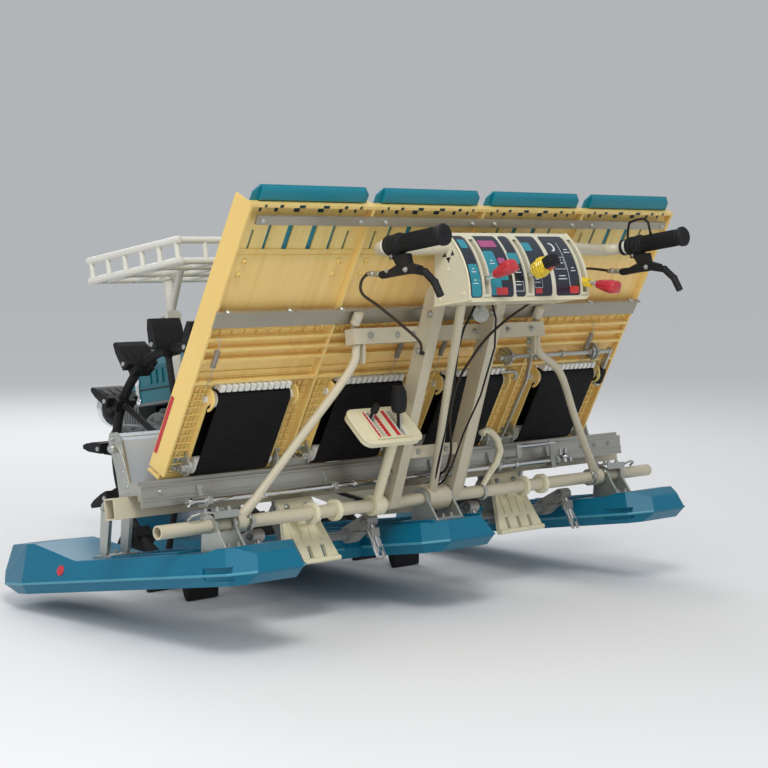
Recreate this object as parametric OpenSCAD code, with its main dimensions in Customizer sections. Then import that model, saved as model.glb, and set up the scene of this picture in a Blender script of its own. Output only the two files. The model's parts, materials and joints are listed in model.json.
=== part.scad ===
// Walk-behind four-row rice transplanter, seen parked.
// All modules are drawn on the level machine: X forward, Y to the left, Z up,
// then parked() tips the machine nose-down onto its two lug wheels and the
// front of its main float.

/* [Wheels] */
// Distance between the two wheel planes
wheel_track = 600; // [590:5:620]
// Radius over the tips of the lugs
lug_tip_r = 296; // [288:1:297]
// Number of lugs on a wheel
lug_count = 14; // [12:1:16]
// Width of a lug along the axle
lug_w = 80; // [60:5:84]
// Radial height of a lug above the rim tube
lug_h = 58; // [45:1:64]
// Half thickness of a lug at its tip
lug_tip_half = 4; // [3:0.5:6]
// Radius of the rim tube's section
rim_tube_r = 10; // [8:0.5:12]
// Number of spokes
spoke_count = 7; // [5:1:8]
// Radius of a spoke
spoke_r = 7; // [5:0.5:9]
// Radius of the hub
hub_r = 34; // [30:1:40]
// Length of the hub along the axle
hub_w = 70; // [60:2:76]
// Radius of the stub axle
axle_r = 14; // [12:0.5:16]
// Place of the axle ahead of the frame's datum
axle_x = 55; // [55:1:70]

/* [Floats] */
// Depth of the float bottoms below the axle
float_bottom = 240; // [232:1:244]
// Depth of the float tops below the axle
float_top = 180; // [176:1:186]
// Where the flat bottom of the main float ends
flat_end_x = 380; // [360:5:400]
// Nose of the main float
main_nose_x = 560; // [540:5:600]
// Width of the main float between the wheels
main_w = 380; // [340:10:400]
// Width of the main float's tail between the rows
tail_w = 210; // [190:5:220]
// Distance of the side floats from the middle
side_float_y = 566; // [564:1:580]
// Width of a side float
side_float_w = 188; // [170:2:190]
// Front end of the side floats
side_nose_x = 282; // [260:2:300]
// Rear end of the side floats
side_tail_x = -528; // [-540:2:-500]

/* [Cross members] */
// Outer radius of the rear cross tube
crossbar_r = 13; // [11:0.5:14]
// Wall of the rear cross tube
crossbar_wall = 3; // [2:0.5:4]
// Half length of the rear cross tube
crossbar_half = 709; // [690:1:715]
// Half length of the planting beam
beam_half = 726; // [716:1:740]
// Depth of the planting beam
beam_h = 40; // [36:1:40]
// Thickness of the planting beam
beam_t = 30; // [26:1:30]
// Half length of the slide rail
rail_half = 693; // [680:1:700]

/* [Seedling tray] */
// Row spacing
row_pitch = 300; // [296:1:304]
// Number of rows
rows = 4; // [2:2:4]
// Length of the tray up its slope
tray_len = 568; // [560:1:572]
// Slope of the tray
tray_slope = 54.7; // [54:0.1:55.5]
// Sideways place of the tray on its rail
tray_offset = 35; // [20:1:45]
// Thickness of the tray skin
skin_t = 4; // [3:0.5:5]
// Height of the ribs on the tray's back
rib_h = 12; // [8:0.5:13]
// Height of the side walls on the seedling side
wall_h = 35; // [25:1:40]
// Width of a feed belt
belt_w = 175; // [160:1:178]
// Outer radius of a feed belt round its rollers
belt_r = 19; // [17:0.5:20]
// Thickness of a feed belt
belt_t = 3; // [2:0.5:4]
// Height of the extension plates above the tray
extension_h = 30; // [20:1:40]

/* [Handle] */
// Sideways place of the handle mast on the machine
mast_y = 35; // [20:1:40]
// Sideways place of the control box
box_y = 15; // [0:1:20]
// Distance of the handle posts from the middle of the mast
post_y = 88; // [86:1:100]
// Width of a handle post
post_w = 26; // [22:1:30]
// Depth of a handle post
post_d = 34; // [28:1:36]
// Width of the control box
box_w = 345; // [330:5:380]
// Radius of the curved lever panel
panel_r = 146; // [140:1:160]
// Width of a lever slot in the panel
slot_w = 12; // [10:1:16]
// Depth of a lever slot
slot_d = 14; // [8:1:20]
// Distance of the grips from the middle
grip_y = 350; // [335:1:360]
// Radius of a handlebar tube
bar_r = 12; // [10:0.5:13]
// Radius of a grip
grip_r = 16; // [15:0.5:19]
// Length of a grip
grip_len = 117; // [105:1:130]

/* [Engine end] */
// Length of the engine block
engine_len = 216; // [200:2:230]
// Width of the engine block
engine_w = 240; // [220:5:250]
// Height of the engine block
engine_h = 220; // [200:5:225]
// Width of the bonnet
bonnet_w = 280; // [260:5:290]
// Wall of the bonnet
bonnet_wall = 4; // [3:0.5:5]
// Radius of the headlamp
lamp_r = 48; // [44:1:52]
// Depth of the headlamp
lamp_d = 46; // [40:1:50]

/* [Seedling rack] */
// Half width of the spare seedling rack
rack_half = 300; // [280:5:310]
// Length of the rack
rack_len = 300; // [280:5:310]
// Height of the rack floor above the axle
rack_z = 407; // [400:1:420]
// Height of the rack's side ladders
ladder_h = 44; // [36:1:50]
// Radius of the rack tubes
rack_r = 8; // [6:0.5:9]

/* [Hidden] */
$fn = 48;
fit_gap = 0.3;
run_gap = 0.05;
ball_gap = 0.6;
cut = 1;

tray_w = rows * row_pitch;
contact_r = lug_tip_r * cos(180 / lug_count) + lug_tip_half * sin(180 / lug_count);
reach_x = flat_end_x - axle_x;
park_pitch = asin(contact_r / norm([reach_x, float_bottom])) - atan2(float_bottom, reach_x);

beam_x = -255;
beam_z = -85;
beam_front = beam_x + beam_t / 2;
beam_top = beam_z + beam_h / 2;
beam_base = beam_z - beam_h / 2;
bar_x = -367;
bar_z = -134;
eye_r = crossbar_r + 12;

pivot_x = 345;
pivot_z = 45;
arm_t = 34;
arm_y = 223;
arm_in = arm_y - arm_t / 2;
arm_out = arm_y + arm_t / 2;
hub_in = wheel_track / 2 - hub_w / 2;
hub_out = wheel_track / 2 + hub_w / 2;
drive_y = 150;

case_front = 424;
case_rear = 215;
deck_z = 135;
deck_t = 6;
engine_front = case_front + engine_len;
engine_top = engine_h - 30;
lamp_z = engine_top - lamp_r + 2;

tray_x = -288;
tray_z = -40;
rail_rear = -310;
rail_lip = -245;
rail_top = tray_z - fit_gap;

post_foot = [bar_x - 3, bar_z + 14];
post_head = [-556, 262];
box_low = 231;
box_high = 365;
box_rear = -690;
box_foot_x = -606;
box_head_x = -628;
panel_at = [-554, 260];
slot_low = 242;
slot_high = 350;
slot_ys = [140, 17, -146];

grip_front = box_rear;
grip_z = 338;
grip_rear = grip_front - grip_len;

function flat(x, z) = [(x - axle_x) * cos(park_pitch) + z * sin(park_pitch),
                       contact_r - (x - axle_x) * sin(park_pitch) + z * cos(park_pitch)];
front_reach = flat(engine_front + lamp_d, lamp_z + lamp_r)[0];
rear_reach = min(flat(grip_rear, grip_z - grip_r - 1)[0], flat(grip_rear + 3, grip_z - grip_r - 4)[0]);
middle_x = (front_reach + rear_reach) / 2;

frame_paint = "#cbbf9f";
cream = "#e9dfb6";
teal = "#1e86a0";
steel = "#b9bdbf";
dark = "#2b2c2e";

// Tips the level machine onto its wheels and float, and centres it
module parked() {
    translate([-middle_x, 0, contact_r])
        rotate([0, park_pitch, 0])
            translate([-axle_x, 0, 0])
                children();
}

// Extrudes an outline drawn in X and Z across the machine, centred at y
module across(w, y = 0) {
    translate([0, y + w / 2, 0])
        rotate([90, 0, 0])
            linear_extrude(w)
                children();
}

// Round bar from one point to another
module rod(a, b, r) {
    v = b - a;
    translate(a)
        rotate([0, acos(v[2] / norm(v)), atan2(v[1], v[0])])
            cylinder(h = norm(v), r = r);
}

// Round bar through a list of points, with ball corners
module bent_rod(points, r) {
    for (i = [0:len(points) - 2]) rod(points[i], points[i + 1], r);
    for (i = [1:len(points) - 2]) translate(points[i]) sphere(r = r + ball_gap);
}

// Outline of a link with round ends of two sizes
module link(a, ra, b, rb) {
    d = norm(b - a);
    turn = atan2(b[1] - a[1], b[0] - a[0]);
    lean = acos((ra - rb) / d);
    translate(a) circle(r = ra);
    translate(b) circle(r = rb);
    polygon([a + ra * [cos(turn + lean), sin(turn + lean)],
             b + rb * [cos(turn + lean), sin(turn + lean)],
             b + rb * [cos(turn - lean), sin(turn - lean)],
             a + ra * [cos(turn - lean), sin(turn - lean)]]);
}

// Cylinder lying across the machine, from y0 to y1
module shaft(x, z, r, y0, y1) {
    translate([x, min(y0, y1), z])
        rotate([-90, 0, 0])
            cylinder(h = abs(y1 - y0), r = r);
}

// Runs its children on the left and mirrored on the right
module both() {
    children();
    mirror([0, 1, 0]) children();
}

// Carries its children to the tray: x up the slope, z out of its back
module on_tray() {
    translate([tray_x, tray_offset, tray_z])
        rotate([0, tray_slope - 180, 0])
            children();
}

function bay_y(i) = (i - (rows - 1) / 2) * row_pitch;

// Wheels

lug_root = lug_tip_r - lug_h;
lug_profile = [[lug_root - 6, -rim_tube_r], [lug_tip_r - 20, -9], [lug_tip_r, -lug_tip_half],
               [lug_tip_r, lug_tip_half], [lug_tip_r - 14, 9], [lug_root + 12, 13], [lug_root - 6, 13]];
rim_r = lug_root - rim_tube_r + 2;

module lug() {
    linear_extrude(lug_w, center = true) polygon(lug_profile);
    translate([rim_r, 0, 0])
        cube([2 * rim_tube_r + 6, 2 * rim_tube_r + 6, lug_w * 0.6], center = true);
}

module wheel(side) {
    phase = park_pitch - 90 + 180 / lug_count;
    color(dark)
        translate([axle_x, side * wheel_track / 2, 0])
            rotate([90, 0, 0])
                difference() {
                    union() {
                        cylinder(h = hub_w, r = hub_r, center = true);
                        rotate_extrude($fn = 96) translate([rim_r, 0]) circle(r = rim_tube_r, $fn = 24);
                        for (i = [0:spoke_count - 1])
                            rotate([0, 0, phase + i * 360 / spoke_count])
                                translate([axle_r + cut, 0, 0])
                                    rotate([0, 90, 0])
                                        cylinder(h = rim_r - axle_r, r = spoke_r, $fn = 24);
                        for (i = [0:lug_count - 1])
                            rotate([0, 0, phase + i * 360 / lug_count]) lug();
                    }
                    cylinder(h = hub_w + 2 * cut, r = axle_r + run_gap, center = true);
                }
}

// Swinging chain case that carries a wheel on its stub axle, drawn on the left
module lift_arm() {
    washer_t = 6;
    collar_r = axle_r + 8;
    boss_r = 28;
    color(steel) {
        across(arm_t, arm_y) link([axle_x, 0], 50, [pivot_x, pivot_z], 44);
        shaft(pivot_x, pivot_z, boss_r, drive_y, arm_in + cut);
        translate([axle_x, 0, 0])
            rotate([-90, 0, 0])
                rotate_extrude()
                    polygon([[0, arm_out - cut], [collar_r, arm_out - cut], [collar_r, hub_in - 2 * run_gap],
                             [axle_r, hub_in - 2 * run_gap], [axle_r, hub_out + 2 * run_gap],
                             [collar_r, hub_out + 2 * run_gap], [collar_r, hub_out + washer_t],
                             [0, hub_out + washer_t]]);
    }
}

// Engine end

module transmission() {
    case_h = 120;
    color(steel) {
        across(190) polygon([[case_rear, -35], [case_rear + 30, -60], [380, -60], [400, -40],
                             [400, 96], [376, case_h], [242, case_h], [case_rear, 92]]);
        shaft(pivot_x, pivot_z, 66, -drive_y + 20, drive_y - 20);
        shaft(pivot_x, pivot_z, 46, -drive_y, drive_y);
        translate([400 - cut, -80, -25]) cube([case_front - 400 + cut, 160, 110]);
        translate([250, -70, case_h - cut]) cube([120, 140, deck_z - deck_t - case_h + 2 * cut]);
        translate([160, -bonnet_w / 2, deck_z - deck_t]) cube([258, bonnet_w, deck_t]);
        translate([174, -198, deck_z - 2 * deck_t]) cube([40, 396, deck_t]);
    }
}

module engine_block() {
    color(dark)
        translate([case_front, -engine_w / 2, engine_top - engine_h])
            cube([engine_len, engine_w, engine_h]);
}

module bonnet_form(inset) {
    w = bonnet_w - 2 * inset;
    intersection() {
        across(w) polygon([[150 + inset, deck_z - (inset > 0 ? cut : 0)],
                           [420 - inset, deck_z - (inset > 0 ? cut : 0)],
                           [420 - inset, 222 - inset], [392 - inset, 255 - inset],
                           [196 + inset, 255 - inset], [150 + inset, 214 - inset]]);
        rotate([90, 0, 90])
            translate([0, 0, 140])
                linear_extrude(300)
                    polygon([[-w / 2, deck_z - cut], [w / 2, deck_z - cut], [w / 2, 218 - inset],
                             [w / 2 - 34, 256 - inset], [34 - w / 2, 256 - inset], [-w / 2, 218 - inset]]);
    }
}

module bonnet() {
    color(teal) difference() {
        bonnet_form(0);
        bonnet_form(bonnet_wall);
    }
}

module headlamp() {
    color(dark)
        translate([engine_front, 0, lamp_z])
            rotate([0, 90, 0]) {
                cylinder(h = lamp_d - 8, r = lamp_r - 3);
                translate([0, 0, lamp_d - 14]) cylinder(h = 14, r = lamp_r);
            }
}

module seedling_rack() {
    x0 = 4;
    x1 = x0 + rack_len;
    top = rack_z + ladder_h;
    post_x = 194;
    post_out = 180;
    thin = rack_r * 0.7;
    color("#e6e2d3") {
        both() {
            rod([x0 - rack_r, rack_half, top], [x1 + rack_r, rack_half, top], rack_r);
            rod([x0 - rack_r, rack_half, rack_z], [x1 + rack_r, rack_half, rack_z], rack_r);
            for (i = [0:5])
                rod([x0 + i * rack_len / 5, rack_half, rack_z],
                    [x0 + i * rack_len / 5, rack_half, top], thin);
            for (i = [0:3])
                rod([x0, (i + 0.5) * rack_half / 4, rack_z], [x1, (i + 0.5) * rack_half / 4, rack_z], thin);
            for (i = [1:3])
                rod([x0, i * rack_half / 4, rack_z], [x0, i * rack_half / 4, top], thin);
            rod([post_x, post_out, deck_z - deck_t], [post_x, post_out, rack_z], rack_r + 3);
            rod([post_x, post_out, rack_z - 90], [post_x - 100, post_out + 40, rack_z], rack_r - 1);
        }
        for (x = [x0, x1]) rod([x, -rack_half, rack_z], [x, rack_half, rack_z], rack_r - 0.8);
        rod([post_x, -rack_half, rack_z], [post_x, rack_half, rack_z], rack_r + 1);
        rod([post_x - 100, -rack_half, rack_z], [post_x - 100, rack_half, rack_z], rack_r - 0.8);
        rod([x0, -rack_half, top], [x0, rack_half, top], rack_r - 0.8);
    }
}

// Frame under and behind the tray

module frame_tube() {
    tube_w = 60;
    color(frame_paint) difference() {
        union() {
            across(tube_w) {
                polygon([[case_rear, 20], [case_rear, -32], [-190, -160], [bar_x, -160],
                         [bar_x, beam_base], [-190, beam_base]]);
                translate([bar_x, bar_z]) circle(r = eye_r);
            }
            across(30) polygon([[-24, -70], [0, -70], [0, 78], [-16, 78]]);
        }
        shaft(bar_x, bar_z, crossbar_r + fit_gap, -tube_w, tube_w);
    }
}

module lift_cylinder() {
    z = 62;
    eye_x = 0;
    color(dark) {
        rod([eye_x + 66, 0, z], [case_rear, 0, z], 21);
        rod([eye_x, 0, z], [eye_x + 67, 0, z], 9);
    }
}

module cross_beam() {
    wall = 3;
    color(frame_paint) difference() {
        translate([beam_x - beam_t / 2, -beam_half, beam_base]) cube([beam_t, 2 * beam_half, beam_h]);
        translate([beam_x - beam_t / 2 + wall, -beam_half - cut, beam_base + wall])
            cube([beam_t - 2 * wall, 2 * (beam_half + cut), beam_h - 2 * wall]);
    }
}

// Aluminium section: a foot on the beam, a bead under the tray and a tall back
module slide_rail() {
    foot = 5;
    color("#d5d7d6")
        across(2 * rail_half) polygon([
            [rail_lip, beam_top], [rail_lip, beam_top + foot], [-278, beam_top + foot],
            [-278, rail_top], [-302, rail_top], [-302, rail_top - 8], [rail_rear, rail_top - 8],
            [rail_rear, -90], [rail_rear + 5, -90], [rail_rear + 5, -76], [rail_rear + 12, -76],
            [rail_rear + 12, beam_top]]);
}

end_y = 660;
end_t = 6;
cover_in = 352;
cover_t = 2.5;

module end_arms() {
    color("#c3c6c2") both()
        across(end_t, end_y) polygon([[beam_front, beam_base], [beam_front, beam_top], [-226, 40],
                                      [-210, 56], [-192, 56], [-186, 42], [-200, -20], [-206, beam_base]]);
}

module front_cover() {
    color("#cfd8dc") both()
        across(end_y - end_t / 2 - cover_in, (end_y - end_t / 2 + cover_in) / 2)
            polygon([[beam_front, beam_base], [beam_front + cover_t, beam_base], [beam_front + cover_t, -66],
                     [-210, 38], [-190, 52], [-192, 54], [-212, 40], [beam_front, -66]]);
}

module crossbar() {
    color(frame_paint) difference() {
        shaft(bar_x, bar_z, crossbar_r, -crossbar_half, crossbar_half);
        shaft(bar_x, bar_z, crossbar_r - crossbar_wall, -crossbar_half - cut, crossbar_half + cut);
    }
}

channel_x = -495;
channel_z = 190;
channel_d = 24;
channel_s = 30;
channel_half = 275;
tab_t = 6;
clamp_y = 522;

brace_r = 10;
brace_in = channel_half - 15;

// Brace from the channel's end down to the crossbar, bent near its top
module brace(side) {
    foot = side * clamp_y;
    difference() {
        union() {
            bent_rod([[channel_x, mast_y + side * brace_in, channel_z],
                      [channel_x + 4, mast_y + side * (brace_in + 8), channel_z - 52],
                      [bar_x, foot, bar_z]], brace_r);
            shaft(bar_x, bar_z, crossbar_r + 8, foot - 13, foot + 13);
        }
        translate([channel_x - 40, mast_y - 2 * brace_in, channel_z - channel_s / 2])
            cube([80, 4 * brace_in, 80]);
        shaft(bar_x, bar_z, crossbar_r + fit_gap, foot - 60, foot + 60);
    }
}

module braces() {
    color(frame_paint) for (side = [-1, 1]) brace(side);
}

module box_outline() {
    intersection() {
        translate(panel_at) circle(r = panel_r);
        polygon([[box_foot_x, box_low], [panel_at[0] - panel_r, box_low],
                 [panel_at[0] - panel_r, box_high], [box_head_x, box_high]]);
    }
}

// Strip of the curved panel between two heights, from one radius to another
module panel_band(r0, r1, low, high) {
    intersection() {
        difference() {
            translate(panel_at) circle(r = r1);
            translate(panel_at) circle(r = r0);
        }
        translate([panel_at[0] - r1, low]) square([r1, high - low]);
    }
}

module post_outline() {
    v = (post_head - post_foot) / norm(post_head - post_foot);
    n = [v[1], -v[0]] * post_d / 2;
    reach = post_head + [-84, 56];
    polygon([post_foot - 20 * v + n, post_head + n, reach + n, reach - n,
             post_head - n, post_foot - 20 * v - n]);
}

// Two posts on the crossbar, tied above their feet
module handle_posts() {
    color(frame_paint) difference() {
        union() {
            for (side = [-1, 1]) across(post_w, mast_y + side * post_y) post_outline();
            translate([-412, mast_y - post_y, -50]) cube([16, 2 * post_y, 24]);
        }
        across(box_w, box_y) box_outline();
        shaft(bar_x, bar_z, crossbar_r + fit_gap, mast_y - 2 * post_y, mast_y + 2 * post_y);
    }
}

// Channel across the posts that carries the tray's back, with rollers and a tab at each end
module tray_support() {
    wheel_r = 10;
    bar_face = rib_h + 3 + fit_gap;
    tab_y = brace_in - brace_r - fit_gap - tab_t / 2;
    tab_len = 52;
    color(frame_paint) difference() {
        union() {
            translate([channel_x - channel_d / 2, mast_y - channel_half, channel_z - channel_s / 2])
                cube([channel_d, 2 * channel_half, channel_s]);
            for (side = [-1, 1]) {
                across(tab_t, mast_y + side * tab_y)
                    polygon([[channel_x - channel_d / 2, channel_z], [channel_x + channel_d / 2, channel_z],
                             [channel_x + channel_d / 2 + 6, channel_z - tab_len],
                             [channel_x - 4, channel_z - tab_len]]);
                translate([0, mast_y + side * (channel_half - 14) - tray_offset, 0]) on_tray() {
                    translate([330, 0, bar_face + wheel_r]) rotate([0, 90, 0]) cylinder(h = 24, r = wheel_r);
                    translate([296, -4, bar_face + wheel_r - 4]) cube([36, 8, 8]);
                }
            }
        }
        for (side = [-1, 1]) across(post_w, mast_y + side * post_y) post_outline();
    }
}

// Controls

module control_box() {
    rim_t = 3;
    rim_w = slot_w + 10;
    color(cream) difference() {
        union() {
            across(box_w, box_y) box_outline();
            for (y = slot_ys)
                across(rim_w, y) panel_band(panel_r - cut, panel_r + rim_t, slot_low - 5, slot_high + 5);
        }
        for (y = slot_ys)
            across(slot_w, y) panel_band(panel_r - slot_d, panel_r + rim_t + cut, slot_low, slot_high);
    }
}

// Lever turned as one profile: a stem and a grip that swells and is cut off flat
module knob_lever(a, b, stem_r, knob_r, knob_len) {
    v = b - a;
    reach = norm(v);
    translate(a)
        rotate([0, acos(v[2] / reach), atan2(v[1], v[0])])
            rotate_extrude()
                polygon([[0, 0], [stem_r, 0], [stem_r, reach],
                         [knob_r * 0.55, reach], [knob_r * 0.7, reach + 6],
                         [knob_r, reach + knob_len * 0.7],
                         [knob_r * 0.8, reach + knob_len], [0, reach + knob_len]]);
}

// Point on the floor of a lever slot at a height
function slot_floor(z) = panel_at[0] - sqrt(pow(panel_r - slot_d, 2) - pow(z - panel_at[1], 2));

// Three levers, each standing on the floor of its slot: height of its foot and place of its grip
panel_lever_at = [[266, [-722, -4, 276]], [272, [-722, -3, 284]], [266, [-732, -4, 253]]];

module panel_levers() {
    stem_r = 4;
    knob_r = 14;
    knob_len = 46;
    seat = 1.5;
    color("#c01f28")
        for (i = [0:2]) {
            foot = panel_lever_at[i][0];
            knob_lever([slot_floor(foot) - seat, slot_ys[i], foot],
                       [0, slot_ys[i], 0] + panel_lever_at[i][1], stem_r, knob_r, knob_len);
        }
}

bend_r = 40;
bar_x0 = box_rear + 73;

// Bar from the box's side, round a bend and back to the grip
module handlebar(inner) {
    difference() {
        union() {
            bent_rod([[bar_x0 - 34, inner - 12, grip_z], [bar_x0, grip_y - bend_r, grip_z],
                      [bar_x0, grip_y - bend_r + 1, grip_z]], bar_r);
            translate([bar_x0 - bend_r, grip_y - bend_r, grip_z])
                rotate_extrude(angle = 90) translate([bend_r, 0]) circle(r = bar_r);
            translate([grip_rear + 4, grip_y, grip_z])
                rotate([0, 90, 0]) cylinder(h = bar_x0 - bend_r - grip_rear - 4, r = bar_r);
        }
        translate([box_rear, inner - 2 * bend_r, box_low]) cube([2 * bend_r, 2 * bend_r, box_high - box_low]);
    }
}

// Hand grip with a flange at each end, bored for the bar
module grip() {
    flange_r = grip_r + 4;
    flange_w = 9;
    end_wall = 4;
    color(dark)
        translate([grip_rear, grip_y, grip_z])
            rotate([0, 90, 0])
                rotate_extrude()
                    polygon([[0, 0], [flange_r - 3, 0], [flange_r, 3],
                             [flange_r, flange_w], [grip_r, flange_w + 3],
                             [grip_r, grip_len - flange_w], [flange_r, grip_len - flange_w + 2],
                             [flange_r, grip_len], [bar_r + fit_gap / 3, grip_len],
                             [bar_r + fit_gap / 3, end_wall - fit_gap], [0, end_wall - fit_gap]]);
}

clamp_x = grip_front + 2;
clamp_w = 24;
bracket_t = 16;
bracket_low = grip_z - 56;

// Moulded bracket that hangs under the grip, with its curved lever
module clutch_lever() {
    under_grip = grip_z - grip_r - 4;
    lever_r = 7;
    difference() {
        union() {
            translate([clamp_x, grip_y, grip_z]) rotate([0, 90, 0]) cylinder(h = clamp_w, r = bar_r + 6);
            across(bracket_t, grip_y)
                polygon([[clamp_x + clamp_w - 4, grip_z - 6], [clamp_x + 3, grip_z - 38],
                         [clamp_x + clamp_w + 8, bracket_low + 10], [clamp_x + clamp_w + 10, bracket_low],
                         [clamp_x - 48, bracket_low - 1], [clamp_x - 50, bracket_low + 9],
                         [clamp_x - 26, bracket_low + 18], [clamp_x - 24, under_grip],
                         [clamp_x, under_grip], [clamp_x, grip_z - 6]]);
            bent_rod([[clamp_x - 30, grip_y, bracket_low + 5], [clamp_x - 60, grip_y, bracket_low - 3],
                      [clamp_x - 81, grip_y, bracket_low - 24],
                      [clamp_x - 92, grip_y, bracket_low - 50]], lever_r);
        }
        translate([clamp_x - cut, grip_y, grip_z])
            rotate([0, 90, 0]) cylinder(h = clamp_w + 2 * cut, r = bar_r + fit_gap / 3);
    }
}

module clutch_levers() {
    color(dark) both() clutch_lever();
}

// A cable is a swept tube on hand-chosen points

cable_r = 3.5;
cable_sides = 8;
left_route = [[-655, 350, 288], [-640, 350, 290], [-606, 350, 296], [-586, 352, 284], [-578, 345, 262],
              [-573, 300, 238], [-564, 230, 198], [-550, 180, 172], [-526, 152, 157], [-515, 143, 151],
              [-515, 136.3, 151]];
right_route = [[-655, -350, 288], [-640, -350, 290], [-606, -350, 296], [-582, -346, 302], [-566, -325, 306],
               [-560, -285, 299], [-560, -210, 270], [-560, -131, 234], [-558, -65, 205], [-540, -23, 173],
               [-512, 2, 132], [-480, 14, 87], [-445, 8, 20], [-432, 0, -40], [-396, -18, -78],
               [-364, -22, -92],
               [-364, -22, -104.6]];

function unit(v) = v / norm(v);
function tangent(p, i) = unit(p[min(i + 1, len(p) - 1)] - p[max(i - 1, 0)]);
function ring(p, i) = let (t = tangent(p, i), n = unit(cross(t, [0.3, 0.2, 1])), b = cross(t, n))
    [for (k = [0:cable_sides - 1]) let (a = k * 360 / cable_sides)
        p[i] + cable_r * (cos(a) * n + sin(a) * b)];

module cable(p) {
    last = (len(p) - 1) * cable_sides;
    color(dark) polyhedron(
        points = [for (i = [0:len(p) - 1]) each ring(p, i)],
        faces = [[for (k = [0:cable_sides - 1]) k],
                 for (i = [0:len(p) - 2], k = [0:cable_sides - 1])
                     let (a = i * cable_sides + k, b = i * cable_sides + (k + 1) % cable_sides)
                         each [[a, a + cable_sides, b + cable_sides], [a, b + cable_sides, b]],
                 [for (k = [cable_sides - 1:-1:0]) last + k]]);
}

console_y = 216;
console_at = [-460, console_y, 12];
console_w = 154;
console_slot = 27;
console_tilt = -50;

module on_console() {
    translate(console_at) rotate([0, console_tilt, 0]) children();
}

// Flat plate with round corners, its base at z = 0
module rounded_plate(len_x, len_y, corner, t) {
    for (side = [-1, 1]) {
        translate([side * (len_x / 2 - corner), len_y / 2 - corner, 0]) cylinder(h = t, r = corner);
        translate([side * (len_x / 2 - corner), corner - len_y / 2, 0]) cylinder(h = t, r = corner);
    }
    translate([-len_x / 2, corner - len_y / 2, 0]) cube([len_x, len_y - 2 * corner, t]);
    translate([corner - len_x / 2, -len_y / 2, 0]) cube([len_x - 2 * corner, len_y, t]);
}

module lever_console() {
    foot_y = 165;
    color(cream) difference() {
        union() {
            on_console() rounded_plate(90, console_w, 20, 12);
            on_console() translate([-36, -46, 11]) cube([72, 92, 5]);
            rod([bar_x, foot_y, bar_z], [console_at[0] - 3, foot_y + 10, console_at[2] + 3], 10);
            shaft(bar_x, bar_z, crossbar_r + 8, foot_y - 14, foot_y + 14);
        }
        shaft(bar_x, bar_z, crossbar_r + fit_gap, foot_y - 30, foot_y + 30);
        on_console() for (side = [-1, 1])
            translate([-32, side * console_slot - 5, 4]) cube([64, 10, 13]);
    }
}

module console_levers() {
    seat = 4 + fit_gap;
    color(dark) on_console() {
        knob_lever([-22, -console_slot, seat + 2.7], [8, -console_slot, 38], 4, 14, 50);
        knob_lever([16, console_slot, seat + 0.7], [20, console_slot, 30], 4, 7, 18);
    }
}

// Rod from the box down to the frame tube, and a thinner one from the channel to the crossbar
module control_rods() {
    rod_top = [-625, 125, box_low + 20];
    rod_foot = [bar_x - 5, 10, bar_z];
    thin_y = -100;
    color(frame_paint) difference() {
        union() {
            rod(rod_top, rod_foot, 9);
            rod([channel_x - 8, thin_y, channel_z], [bar_x, thin_y + 18, bar_z], 4);
        }
        translate([rod_top[0] - 60, rod_top[1] - 60, box_low - fit_gap]) cube([120, 120, 60]);
        translate([bar_x, -eye_r, beam_base + fit_gap - 60]) cube([60, 2 * eye_r, 60]);
        shaft(bar_x, bar_z, eye_r + fit_gap, -eye_r, eye_r);
        translate([channel_x - 40, thin_y - 50, channel_z - channel_s / 2]) cube([90, 100, 80]);
        shaft(bar_x, bar_z, crossbar_r + fit_gap, thin_y - 50, thin_y + 50);
    }
}

// Planting units

crank = [-272, -190];
rocker_end = [-329, -164];
arm_w = 28;

module planting_case(side) {
    color("#cfcfc9") {
        across(44, side * row_pitch) {
            link([-250, -133], 24, crank, 22);
            translate([-267, -120]) square([30, beam_base + 120]);
        }
        shaft(crank[0], crank[1], 9, side * (row_pitch + arm_w) / 2, side * (3 * row_pitch - arm_w) / 2);
    }
}

module planting_arm(y) {
    across(arm_w, y) link(crank, 17, rocker_end, 12);
    for (d = [-7, 7])
        rod([rocker_end[0], y + d, rocker_end[1]], [rocker_end[0] - 26, y + d, rocker_end[1] - 78], 3);
    translate([rocker_end[0] - 16, y - 11, rocker_end[1] - 34]) cube([14, 22, 18]);
}

module planting_arms() {
    color("#d8cfc8") for (i = [0:rows - 1]) planting_arm(bay_y(i));
}

// Floats: a flat pan, a crease and a narrower deck

module slab(outline_x0, outline_x1, w, nose_w, z, inset) {
    tail_cut = 40;
    side = w / 2 - inset;
    translate([0, 0, z])
        linear_extrude(0.5)
            polygon([[outline_x0 + inset, tail_cut - side], [outline_x0 + inset + tail_cut, -side],
                     [outline_x1 - 130, -side], [outline_x1 - inset, inset - nose_w / 2],
                     [outline_x1 - inset, nose_w / 2 - inset], [outline_x1 - 130, side],
                     [outline_x0 + inset + tail_cut, side], [outline_x0 + inset, side - tail_cut]]);
}

module float_hull(x0, x1, w, nose_w, high) {
    crease = 21;
    hull() {
        slab(x0, x1, w, nose_w, -float_bottom, 12);
        slab(x0, x1, w, nose_w, -float_bottom + crease, 0);
        slab(x0, x1, w, nose_w, -float_top - 0.5, 18);
        slab(x0, x1, w, nose_w, high, 22);
    }
}

deck_a = [250, -174];
deck_b = [flat_end_x, -158];
function deck_z_at(x) = deck_a[1] + (x - deck_a[0]) * (deck_b[1] - deck_a[1]) / (deck_b[0] - deck_a[0]);

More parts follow.
